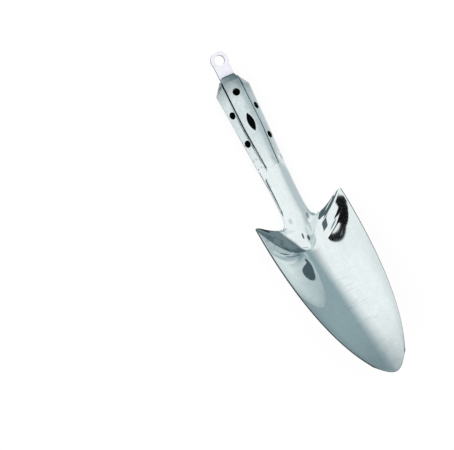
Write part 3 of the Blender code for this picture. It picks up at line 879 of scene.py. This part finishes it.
class TROWEL_OT_blade(bpy.types.Operator):
    """Make the blade and the shank, one pressed sheet"""

    bl_idname = "trowel.blade"
    bl_label = "Blade and shank"

    # Rows of points on each stretch from the tang to the tip, and points across
    row_parts = (12, 3, 51, 135, 99)
    columns = 120
    # How far past the floor's bend the rows stay dense, in millimetres
    bend_margin = 2
    edge = {"width": 0.25, "angle": 60}
    blur_rounds = 60
    # The frog and the neck run together within this share of the notch's half width, and stay as
    # they are from the second share further out
    merge_shares = (0.6, 0.25)

    def execute(self, context):
        scene = context.scene
        grip = sizes_of(scene.trowel_grip)
        groups = {
            "blade": sizes_of(scene.trowel_blade),
            "shank": sizes_of(scene.trowel_shank),
            "grip": {key: grip[key] for key in SHARED_GRIP_SIZES},
        }
        sizes = {}
        for name, group in groups.items():
            sizes |= {f"{name}_{key}": value for key, value in group.items()}
        tree = ShapeTree("Blade and shank", sizes)
        sockets = []
        for name, group in groups.items():
            made = {key: getattr(tree.sizes, f"{name}_{key}") for key in group}
            sockets.append(SimpleNamespace(**made))
        surface = self.shape(tree, *sockets)

        place = laid_down(measures(scene.trowel_grip))
        finish = scene.trowel_finish
        looks = (finish.steel, finish, blade_darkening_and_painted_shade, CLEAN_WEAR, BLADE_WAVES)
        steel = polished_steel("Blade steel", place, *looks)
        tree.finish(surface, steel)
        obj = object_from("blade_surface", bpy.data.meshes.new("blade_surface"))
        tree.apply_to(obj)
        obj.data.materials.append(sheared_steel(place, finish))
        thicken(obj, scene.trowel_blade.sheet / MM, 0, 1)
        soften(obj, **self.edge)
        settle(obj, place, "trowel", "polished_steel", "blade_and_shank")
        return {"FINISHED"}

    def shape(self, tree, blade, shank, grip):
        rows = sum(self.row_parts)
        sizes = {"Size X": 2.0, "Size Y": float(rows)}
        counts = {"Vertices X": self.columns + 1, "Vertices Y": rows + 1}
        grid = tree.add("GeometryNodeMeshGrid", sizes | counts)
        side, row, _ = tree.split(tree.add("GeometryNodeInputPosition"))
        inputs = {"Geometry": grid, "Name": "across", "Value": abs(side)}
        grid = tree.add("GeometryNodeStoreNamedAttribute", inputs, domain="POINT")
        row = row + rows / 2
        ends = (shank.tang_end, shank.tang_step_start, shank.tang_step_end, shank.flare_start)
        ends += (blade.bend_end + self.bend_margin, blade.tip_x)
        station = shank.tang_end
        done = 0
        for start, end, count in zip(ends, ends[1:], self.row_parts):
            station = station + (end - start) * clamped((row - done) / count)
            done += count
        across = abs(side)
        station_in_scoop = station.maths("MAXIMUM", station, blade.notch_station)
        scoop = scoop_point(blade, station_in_scoop, across)
        rolled = shank_point(blade, shank, grip, station, across)
        flare = eased(share_of(station, shank.flare_start, blade.notch_station))
        x, y, z = mix_points(rolled, scoop, flare)
        y = y * side.maths("SIGN", side)
        for middle, spread, height in FROG_PINCHES:
            away = away_squared(x, y, middle, spread)
            z = z + height * away.maths("EXPONENT", -away)
        where = tree.join(x * MM, y * MM, z * MM)
        moved = self.merge(tree, tree.place(grid, where), blade)
        turned = tree.add("GeometryNodeFlipFaces", {"Mesh": moved})
        return tree.add("GeometryNodeSetShadeSmooth", {"Geometry": turned})

    def merge(self, tree, geometry, blade):
        """Lets the frog and the neck run smoothly into each other."""
        here = tree.add("GeometryNodeInputPosition")
        x, y, _ = tree.split(here)
        along = abs(x / MM - blade.notch_station) / blade.merge_length
        inner, outer = (blade.notch_half_width * share for share in self.merge_shares)
        aside = (abs(y) / MM - inner) / outer
        weight = clamped(clamped(1 - along) * clamped(1 - aside) * 2)
        inputs = {0: here, 1: self.blur_rounds, 2: weight}
        even = tree.add("GeometryNodeBlurAttribute", inputs, data_type="FLOAT_VECTOR")
        return tree.place(geometry, even)


# Grip


# Steps of the sections: along an arc, and along the straight piece after the last one
ARC_STEPS = 10
END_STEPS = 6
# Roundings of the front's crown, of the dome's lip and of the end's opening, in millimetres
CROWN_RADIUS = 20.0
DOME_RADII = (2.0, 0.2)
END_RADII = (1.0, 1.0)
# Where the crown bends, as shares of the half width and of the edge's drop
CROWN_OUT, CROWN_DOWN = 0.5, 0.3
# Depth of the tools that cut the grip's openings, in millimetres, and the points round them
CUT_DEPTH = 6
ROUND_STEPS = 64


def rounded(corners, radii):
    """An open path through corners in y and z, with an arc in place of each inner corner."""
    path = [Vector(corners[0])]
    for before, corner, after, radius in zip(corners, corners[1:], corners[2:], radii):
        before, corner, after = Vector(before), Vector(corner), Vector(after)
        into = (corner - before).normalized()
        out = (after - corner).normalized()
        bend = into.angle(out)
        start = corner - into * radius * math.tan(bend / 2)
        aside = Vector((-into.y, into.x))
        if aside.dot(out) < 0:
            aside = -aside
        centre = start + aside * radius
        for i in range(ARC_STEPS + 1):
            swing = bend * i / ARC_STEPS
            path.append(centre - aside * radius * math.cos(swing) + into * radius * math.sin(swing))
    last = Vector(corners[-1])
    return path + [path[-1].lerp(last, i / END_STEPS) for i in range(1, END_STEPS + 1)]


def full_row(x, half):
    """Both sides of a section, from the left end to the right end of its right half."""
    right = [(x, p.x, p.y) for p in half]
    return [(x, -y, z) for x, y, z in reversed(right[1:])] + right


# Marks of the crimping tool round the mouth, as places, depth and radius in millimetres
SHELL_DENTS = ((-87.3, -11.4), (-79.0, -10.6), (-80.5, 10.4))
PANEL_DENTS = ((-80.0, -3.9), (-82.0, 4.4))
DENT_DEPTH = 0.36
DENT_RADIUS = 1.6
# They are on the front only, above this height
DENTS_ABOVE = -4


def dented(rows, dents):
    """The rows of a section with those marks pressed into them."""
    marked = []
    for row in rows:
        marked.append([])
        for x, y, z in row:
            if z > DENTS_ABOVE:
                for at_x, at_y in dents:
                    away = ((x - at_x) ** 2 + (y - at_y) ** 2) / DENT_RADIUS**2
                    z -= DENT_DEPTH * math.exp(-away)
            marked[-1].append((x, y, z))
    return marked


def shell_half(shank, grip, x):
    _, edge_y, edge_z, wide, wide_z, back = handle_section(shank, grip, x)
    corners = ((0, back), (wide * grip.back_flat, back), (wide, wide_z), (edge_y, edge_z))
    return rounded(corners, (grip.back_radius, grip.widest_radius))


def shell_end_half(grip):
    corners = (
        (0, grip.end_lip),
        (grip.end_lip_half_width, grip.end_lip),
        (grip.end_half_width, grip.end_side),
        (grip.end_half_width, grip.end_top),
    )
    return rounded(corners, END_RADII)


def panel_half(grip, x):
    share = share_of(x, grip.mouth_x, grip.heel_x)
    half = panel_width(grip, x)
    front = mix(grip.mouth_front, grip.heel_front, share)
    edge = front - grip.panel_edge_drop
    foot = edge - mix(grip.panel_mouth_flange, grip.panel_flange, share)
    crown = (half * CROWN_OUT, front - grip.panel_edge_drop * CROWN_DOWN)
    corners = ((0, front), crown, (half, edge), (half, foot))
    return rounded(corners, (CROWN_RADIUS, grip.panel_edge_radius))


def dome_end_half(grip):
    half = grip.dome_half_width
    corners = ((0, grip.dome_z), (half * CROWN_OUT, grip.dome_z))
    corners += ((half, grip.dome_z - grip.dome_lip * CROWN_DOWN),)
    corners += ((half, grip.dome_z - grip.dome_lip),)
    return rounded(corners, DOME_RADII)


def blend_halves(start, end, share):
    return [a.lerp(b, share) for a, b in zip(start, end)]


def spaced(start, end, count):
    return [mix(start, end, i / count) for i in range(count)]


def object_from_bmesh(name, bm):
    mesh = bpy.data.meshes.new(name)
    bm.to_mesh(mesh)
    bm.free()
    return object_from(name, mesh)


def rod(name, radius, depth):
    """A cylinder along Z as a tool, in millimetres."""
    bm = bmesh.new()
    radii = {"radius1": radius * MM, "radius2": radius * MM}
    bmesh.ops.create_cone(bm, cap_ends=True, segments=ROUND_STEPS, depth=depth * MM, **radii)
    return object_from_bmesh(name, bm)


# The softened edges of the grip's sheet: width in millimetres, and the angles in degrees above
# which an edge is rounded and stays crisp
SHEET_EDGE = {"width": 0.12, "angle": 50, "smooth": 28}


class TROWEL_OT_grip_shell(bpy.types.Operator):
    """Make the grip's back shell with its two pairs of side holes"""

    bl_idname = "trowel.grip_shell"
    bl_label = "Grip back shell"

    end_rows = 8
    length_rows = 96

    def execute(self, context):
        scene = context.scene
        shank = measures(scene.trowel_shank)
        grip = measures(scene.trowel_grip)
        place = laid_down(grip)
        materials = grip_finishes("Grip shell steel", place, scene.trowel_finish)
        rows = []
        end = shell_end_half(grip)
        heel = shell_half(shank, grip, grip.heel_x)
        for share in spaced(1.0, 0.0, self.end_rows):
            x = mix(grip.heel_x, grip.end_x, share)
            rows.append(full_row(x, blend_halves(heel, end, share)))
        for x in spaced(grip.heel_x, grip.mouth_x, self.length_rows) + [grip.mouth_x]:
            rows.append(full_row(x, shell_half(shank, grip, x)))
        rows.reverse()
        obj = sheet_from("grip_shell_surface", dented(rows, SHELL_DENTS), *materials)
        thicken(obj, grip.sheet, 1)
        keep_result(obj)
        self.perforate(obj, shank, grip)
        soften(obj, **SHEET_EDGE)
        settle(obj, place, "trowel", "grip_steel", "grip_back_shell")
        return {"FINISHED"}

    def perforate(self, obj, shank, grip):
        """Cuts the side holes, which stand in a row along each facet."""
        sizes = {
            "hole_length": grip.side_hole_length,
            "hole_width": grip.side_hole_width,
            "lean": math.atan(grip.facet_slope),
        }
        for name, x in (("first", grip.side_hole_back_x), ("last", grip.side_hole_front_x)):
            _, edge_y, edge_z, wide, wide_z, _ = handle_section(shank, grip, x)
            y, z = mix_points((edge_y, edge_z), (wide, wide_z), grip.side_hole_place)
            sizes |= {f"{name}_x": x, f"{name}_y": y, f"{name}_z": z}
        tree = ShapeTree("Side holes", sizes, takes_geometry=True)
        s = tree.sizes
        inputs = {"Vertices": ROUND_STEPS, "Radius": s.hole_length * (MM / 2)}
        drill = tree.add("GeometryNodeMeshCylinder", inputs | {"Depth": CUT_DEPTH * MM})
        flatten = tree.join(1.0, s.hole_width / s.hole_length, 1.0)
        drill = tree.add("GeometryNodeTransform", {"Geometry": drill, "Scale": flatten})
        drills = []
        for side in (1, -1):
            first = tree.join(s.first_x * MM, s.first_y * (side * MM), s.first_z * MM)
            last = tree.join(s.last_x * MM, s.last_y * (side * MM), s.last_z * MM)
            line = {"Count": 2, "Start Location": first, "Offset": last}
            places = tree.add("GeometryNodeMeshLine", line, mode="END_POINTS")
            leaning = tree.join(s.lean * -side, 0.0, 0.0)
            inputs = {"Points": places, "Instance": drill, "Rotation": leaning}
            holes = tree.add("GeometryNodeInstanceOnPoints", inputs)
            drills.append(tree.add("GeometryNodeRealizeInstances", {0: holes}))
        pierced = tree.cut(tree.geometry, drills)
        out = tree.add("GeometryNodeRealizeInstances", {0: pierced})
        tree.add("NodeGroupOutput", {0: out})
        tree.apply_to(obj)


class TROWEL_OT_grip_panel(bpy.types.Operator):
    """Make the grip's raised front panel with its round hole, its lens-shaped slot and its dome"""

    bl_idname = "trowel.grip_panel"
    bl_label = "Grip front panel"

    dome_rows = 18
    length_rows = 100
    arc_points = 28
    ear_clearance = 0.1

    def execute(self, context):
        scene = context.scene
        grip = measures(scene.trowel_grip)
        place = laid_down(grip)
        materials = grip_finishes("Grip panel steel", place, scene.trowel_finish)
        rows = []
        whole = panel_half(grip, grip.dome_start)
        lip = dome_end_half(grip)
        for i in range(self.dome_rows, 0, -1):
            swing = math.pi / 2 * i / self.dome_rows
            x = mix(grip.dome_start, grip.dome_end, math.sin(swing))
            rows.append(full_row(x, blend_halves(whole, lip, 1 - math.cos(swing))))
        for x in spaced(grip.dome_start, grip.mouth_x, self.length_rows) + [grip.mouth_x]:
            rows.append(full_row(x, panel_half(grip, x)))
        obj = sheet_from("grip_panel_surface", dented(rows, PANEL_DENTS), *materials)
        thicken(obj, grip.sheet, 1)
        tools = [self.round_hole(grip), self.lens_slot(grip)]
        for tool in tools:
            cut(obj, tool)
        ears = self.ears(grip)
        bore = rod("ear_bore", grip.ear_bore / 2, 3 * grip.panel_half_width)
        bore.location = at(grip.ear_x, 0, grip.ear_z)
        bore.rotation_euler.x = math.pi / 2
        for ear in ears:
            cut(obj, ear, "UNION")
        cut(obj, bore)
        keep_result(obj)
        drop(*tools, *ears, bore)
        soften(obj, **SHEET_EDGE)
        settle(obj, place, "trowel", "grip_steel", "grip_front_panel")
        return {"FINISHED"}

    def front_at(self, grip, x):
        return mix(grip.mouth_front, grip.heel_front, share_of(x, grip.mouth_x, grip.heel_x))

    def round_hole(self, grip):
        tool = rod("round_hole", grip.panel_hole / 2, CUT_DEPTH)
        tool.location = at(grip.panel_hole_x, 0, self.front_at(grip, grip.panel_hole_x))
        return tool

    def lens_slot(self, grip):
        """A tool whose outline is two arcs that meet in points."""
        half_length = grip.lens_length / 2
        half_width = grip.lens_width / 2
        radius = (half_length**2 + half_width**2) / (2 * half_width)
        reach = math.asin(half_length / radius)
        bm = bmesh.new()
        outline = []
        for side in (1, -1):
            for angle in spaced(-reach, reach, self.arc_points):
                x = side * radius * math.sin(angle)
                y = side * (radius * math.cos(angle) - radius + half_width)
                outline.append(bm.verts.new(at(x, y, -CUT_DEPTH / 2)))
        made = bmesh.ops.extrude_face_region(bm, geom=[bm.faces.new(outline)])["geom"]
        top = [item for item in made if isinstance(item, bmesh.types.BMVert)]
        bmesh.ops.translate(bm, verts=top, vec=at(0, 0, CUT_DEPTH))
        bmesh.ops.recalc_face_normals(bm, faces=bm.faces)
        tool = object_from_bmesh("lens_slot", bm)
        tool.location = at(grip.lens_x, 0, self.front_at(grip, grip.lens_x))
        return tool

    def ears(self, grip):
        """The two ears inside the panel that hold the pin."""
        made = []
        top = self.front_at(grip, grip.ear_x) - grip.panel_edge_drop - grip.panel_flange / 2
        for side in (1, -1):
            ear = rod("ear", grip.ear_radius, grip.ear_sheet)
            for vert in ear.data.vertices:
                if vert.co.y > 0:
                    vert.co.y += (top - grip.ear_z - grip.ear_radius) * MM
            y = side * (grip.panel_half_width - self.ear_clearance - grip.ear_sheet / 2)
            ear.location = at(grip.ear_x, y, grip.ear_z)
            ear.rotation_euler.x = math.pi / 2
            made.append(ear)
        return made


# Hanging tab and pin


class TROWEL_OT_hanging_tab(bpy.types.Operator):
    """Make the hanging tab: a tapered strap with a ring at its end and a barrel round the pin"""

    bl_idname = "trowel.hanging_tab"
    bl_label = "Hanging tab"

    points_round = 72
    # Edges sharper than this angle are rounded, and stay crisp
    crisp = 35
    # How far the strap reaches into the ring, as a share of its radius
    overlap = 0.2
    # How much shorter the barrel is than the strap is wide, in millimetres
    barrel_play = 0.2

    def execute(self, context):
        scene = context.scene
        tab = measures(scene.trowel_tab)
        grip = measures(scene.trowel_grip)
        pin = Matrix.Translation(at(grip.ear_x, 0, grip.ear_z))
        place = laid_down(grip) @ pin @ Matrix.Rotation(tab.rest_angle, 4, "Y")
        obj = object_from("hanging_tab_surface", bpy.data.meshes.new("hanging_tab_surface"))
        tree = ShapeTree("Hanging tab", vars(tab) | {"bore": grip.ear_bore})
        plastic = milky_plastic(place, scene.trowel_finish, tab.thickness)
        tree.finish(self.shape(tree), plastic)
        tree.apply_to(obj)
        soften(obj, tab.edge, self.crisp, segments=3, smooth=self.crisp)
        settle(obj, place, "tab", "tab_plastic", "hanging_tab")
        return {"FINISHED"}

    def shape(self, tree):
        s = tree.sizes
        size = tree.join(s.reach * MM, 2 * MM, s.thickness * MM)
        strap = tree.add("GeometryNodeMeshCube", {"Size": size})
        x, y, z = tree.split(tree.add("GeometryNodeInputPosition"))
        at_ring = x < 0
        half = mix(s.base_half_width, s.neck_half_width, at_ring)
        shorter = (s.reach - s.ring_radius * self.overlap) * MM
        where = tree.join(-at_ring * shorter, y * half, z)
        strap = tree.place(strap, where)
        ring = self.disc(tree, s.ring_radius * MM, s.thickness * MM, s.reach * -MM)
        hole = self.disc(tree, s.hole * (MM / 2), s.thickness * (2 * MM), s.reach * -MM)
        barrel_length = (s.base_half_width * 2 - self.barrel_play) * MM
        barrel = self.disc(tree, s.barrel * (MM / 2), barrel_length, 0.0, True)
        bore = self.disc(tree, s.bore * (MM / 2), s.base_half_width * (3 * MM), 0.0, True)
        parts = {"Mesh 2": [strap, ring, barrel]}
        whole = tree.add("GeometryNodeMeshBoolean", parts, operation="UNION", solver="EXACT")
        return tree.cut(whole, [hole, bore])

    def disc(self, tree, radius, depth, x, across=False):
        inputs = {"Vertices": self.points_round, "Radius": radius, "Depth": depth}
        made = tree.add("GeometryNodeMeshCylinder", inputs)
        lean = (math.pi / 2, 0, 0) if across else (0, 0, 0)
        inputs = {"Geometry": made, "Translation": tree.join(x, 0.0, 0.0), "Rotation": lean}
        return tree.add("GeometryNodeTransform", inputs)


class TROWEL_OT_pin(bpy.types.Operator):
    """Give the tab's pin its finish"""

    bl_idname = "trowel.pin"
    bl_label = "Pin"

    def execute(self, context):
        scene = context.scene
        place = laid_down(measures(scene.trowel_grip))
        pin = frame["nodes"]["tab_pin"]
        pin.material_slots[0].material = plain_pin_steel(place, scene.trowel_finish)
        return {"FINISHED"}


# Studio


# The studio's walls as polished steel mirrors them: on the left, on the right, and behind the grip
LIGHT_WALL = (0.97, 1.0, 1.0, 1)
NEAR_WALL = (0.56, 0.63, 0.65, 1)
# The far wall's tone is also that of the painted shadow under the trowel on the floor, which only
# mirrors see
FAR_WALL_AND_FLOOR_SHADOW = (0.31, 0.41, 0.44, 1)
DARK_END = (0.10, 0.14, 0.16, 1)
DARK_GAP = (0.008, 0.008, 0.009, 1)
DARK_DISC = (0.09, 0.13, 0.15, 1)
WHITE = (1, 1, 1, 1)
PALE = (0.9, 0.9, 0.9, 1)
FLOOR_CORNERS = ((-1, -1), (1, -1), (1, 1), (-1, 1))
# Half the floor's width, and how far it lies below the trowel, in metres
FLOOR_REACH = 0.45
FLOOR_DROP = 0.0004
# Where the small dark disc faces, and its thickness in millimetres
DISC_FACES = (0.25, 0.47, -0.84)
DISC_DEPTH = 0.5
# Each soft lamp's place and width in metres, and its share of the power
LAMPS = (
    ("Left lamp", (0.05, -0.9, 1.0), 0.9, 1.0),
    ("Top lamp", (-0.3, 0.2, 1.4), 1.0, 0.6),
)


def facing(direction):
    return Vector(direction).to_track_quat("Z", "Y").to_euler()


def show(material, tree, share, first, shade):
    """Ends the material: the first shader, or by the share a glow in the shade."""
    glow = tree.add("ShaderNodeEmission", {"Color": shade, "Strength": 1.0})
    both = tree.add("ShaderNodeMixShader", {0: share, 1: first, 2: glow})
    tree.feed(material.node_tree.nodes["Material Output"], {"Surface": both})


class TROWEL_OT_studio(bpy.types.Operator):
    """Set up the camera, the lamps, the pale floor and what the steel mirrors"""

    bl_idname = "trowel.studio"
    bl_label = "Studio"

    def execute(self, context):
        scene = context.scene
        studio = scene.trowel_studio
        scene.view_settings.view_transform = "Standard"
        self.camera(scene, studio, laid_down(measures(scene.trowel_grip)))
        self.world(scene, studio)
        self.floor()
        self.lamps(scene, studio)
        self.dark_disc(studio)
        return {"FINISHED"}

    def camera(self, scene, studio, place):
        down, side, roll = studio.view_down, studio.view_side, studio.view_roll
        flat = math.cos(side)
        back = Vector((math.sin(side), -flat * math.sin(down), flat * math.cos(down)))
        along = Vector((1, 0, 0))
        low = (along - along.dot(back) * back).normalized()
        right = (-low).cross(back)
        across = math.cos(roll) * right + math.sin(roll) * low
        up = math.sin(roll) * right - math.cos(roll) * low
        matrix = Matrix((across, up, back)).transposed().to_4x4()
        target = Vector((studio.target_x, studio.target_y, 0))
        matrix.translation = target + back * studio.distance
        data = bpy.data.cameras.new("Camera")
        width = studio.scale * MM * studio.picture_width
        data.lens = data.sensor_width * studio.distance / width
        data.clip_start = 0.01
        camera = bpy.data.objects.new("Camera", data)
        camera.matrix_world = place @ matrix
        scene.collection.objects.link(camera)
        scene.camera = camera

    def world(self, scene, studio):
        world = bpy.data.worlds.new("Studio")
        world.use_nodes = True
        scene.world = world
        tree = Tree(world.node_tree)
        ray = tree.add("ShaderNodeLightPath")
        seen = ray + ray.output("Is Transmission Ray")
        mirrored = ray.output("Is Glossy Ray")
        # A mirrored direction has a part along the trowel, one across it and one upwards
        along, aside, up = tree.split(tree.add("ShaderNodeTexCoord"))
        far_end = eased(share_of(-along, 0.18, 0.36))
        dim = tree.tint(NEAR_WALL, FAR_WALL_AND_FLOOR_SHADOW, far_end)
        dimmed = share_of(aside, mix(0.22, -0.15, far_end), mix(0.62, 0.5, far_end))
        tone = tree.tint(LIGHT_WALL, dim, dimmed)
        # Darker ends: behind the grip, and low on the right in front of the nose
        behind = share_of(-along - up * 0.3, 0.66, 0.82)
        corner = share_of(along, 0.1, 0.3) * share_of(aside, 0.3, 0.5)
        corner = corner * (1 - share_of(up, 0.3, 0.5))
        tone = tree.tint(tone, DARK_END, clamped(behind + corner))
        # The dark gap under the light wall on the left, which rises at both of its ends
        middle = (up < 0.082) * (along < -0.262) * (-along < 0.415)
        near_rise = 1 - share_of(up - along * 2.348, 0.792, 0.812)
        near_rise = near_rise * (up < 0.213) * (along < -0.2285)
        far_rise = 1 - share_of(abs(up + along * 0.717 + 0.2335), 0.021, 0.025)
        far_rise = far_rise * (-along < 0.62)
        beside = (1 - share_of(up, 0.22, 0.28)) * (-along < 0.12)
        gap = clamped(1 - share_of(up, 0.022, 0.030) + middle + near_rise + far_rise + beside)
        gap = gap * (aside < -0.72)
        tone = tree.tint(tone, DARK_GAP, gap)
        # A narrow dark strip on the left, for the outline of the neck and the bend beside the frog
        strip = (abs(up - 0.55) < 0.085) * (1 - share_of(abs(along + 0.066), 0.05, 0.08))
        strip = strip * (aside < -0.5)
        strip = strip + (abs(up - 0.55) < 0.08) * (-along < -0.11) * (aside < -0.22)
        strip = strip + (abs(up - 0.5) < 0.12) * (-along < -0.5) * (abs(aside + 0.42) < 0.2)
        tone = tree.tint(tone, DARK_END, clamped(strip))
        strength = mix(studio.level, 1.0, clamped(seen + mirrored))
        shade = tree.tint(WHITE, tone, mirrored)
        tree.feed(world.node_tree.nodes["Background"], {"Color": shade, "Strength": strength})

    def floor(self):
        mesh = bpy.data.meshes.new("Floor")
        corners = [(x * FLOOR_REACH, y * FLOOR_REACH, 0) for x, y in FLOOR_CORNERS]
        mesh.from_pydata(corners, [], [(0, 1, 2, 3)])
        material, shader, tree = start_material("Pale floor")
        tree.feed(shader, {"Base Color": PALE, "Roughness": 0.9})
        ray = tree.add("ShaderNodeLightPath")
        direct = clamped(ray + ray.output("Is Transmission Ray"))
        seen = clamped(direct + ray.output("Is Glossy Ray"))
        along, aside, _ = tree.split(tree.add("ShaderNodeTexCoord").output("Object"))
        # Mirrors also see it darker: a painted shadow under the trowel, and darker tones towards
        # both of its sides
        under = eased(1 - share_of(abs(aside), 0.012, 0.034)) * (1 - share_of(along, 0.10, 0.13))
        tone = tree.tint(WHITE, FAR_WALL_AND_FLOOR_SHADOW, under * share_of(along, -0.17, -0.15))
        tone = tree.tint(tone, NEAR_WALL, share_of(aside, 0.08, 0.16))
        tone = tree.tint(tone, DARK_GAP, share_of(-aside, 0.15, 0.17))
        lit = Socket(tree, shader.outputs["BSDF"])
        show(material, tree, seen * 0.9, lit, tree.tint(tone, WHITE, direct))
        floor = object_from("Floor", mesh, material)
        floor.location.z = -FLOOR_DROP

    def lamps(self, scene, studio):
        for name, stand, size, share in LAMPS:
            data = bpy.data.lights.new(name, "AREA")
            data.shape = "DISK"
            data.size = size
            data.energy = studio.lamp * share
            lamp = bpy.data.objects.new(name, data)
            lamp.location = stand
            lamp.rotation_euler = facing(stand)
            lamp.visible_glossy = False
            scene.collection.objects.link(lamp)

    def dark_disc(self, studio):
        """A small dark disc above the grip, seen only where the scoop's walls mirror each other."""
        disc = rod("Dark disc", studio.disc_radius / MM, DISC_DEPTH)
        material, _, tree = start_material("Dark disc")
        clear = tree.add("ShaderNodeBsdfTransparent")
        depth = tree.add("ShaderNodeLightPath").output("Glossy Depth")
        show(material, tree, clamped(depth - 1), clear, DARK_DISC)
        disc.data.materials.append(material)
        disc.location = studio.disc_place
        disc.rotation_euler = facing(DISC_FACES)
        for ray_kind in ("camera", "diffuse", "shadow", "transmission"):
            setattr(disc, f"visible_{ray_kind}", False)


class TROWEL_PT_parts(bpy.types.Panel):
    """The trowel's parts and the studio"""

    bl_label = "Trowel"
    bl_idname = "TROWEL_PT_parts"
    bl_space_type = "VIEW_3D"
    bl_region_type = "UI"
    bl_category = "Trowel"

    def draw(self, context):
        for operator in OPERATORS:
            self.layout.operator(operator.bl_idname)


OPERATORS = (
    TROWEL_OT_blade,
    TROWEL_OT_grip_shell,
    TROWEL_OT_grip_panel,
    TROWEL_OT_hanging_tab,
    TROWEL_OT_pin,
    TROWEL_OT_studio,
)


def register():
    for item in (*GROUPS.values(), *OPERATORS, TROWEL_PT_parts):
        bpy.utils.register_class(item)
    for name, group in GROUPS.items():
        setattr(bpy.types.Scene, name, PointerProperty(type=group))


def unregister():
    for name in GROUPS:
        delattr(bpy.types.Scene, name)
    for item in reversed((*GROUPS.values(), *OPERATORS, TROWEL_PT_parts)):
        bpy.utils.unregister_class(item)


def main():
    register()
    bpy.ops.trowel.blade()
    bpy.ops.trowel.grip_shell()
    bpy.ops.trowel.grip_panel()
    bpy.ops.trowel.hanging_tab()
    bpy.ops.trowel.pin()
    bpy.ops.trowel.studio()


if __name__ == "__main__":
    main()
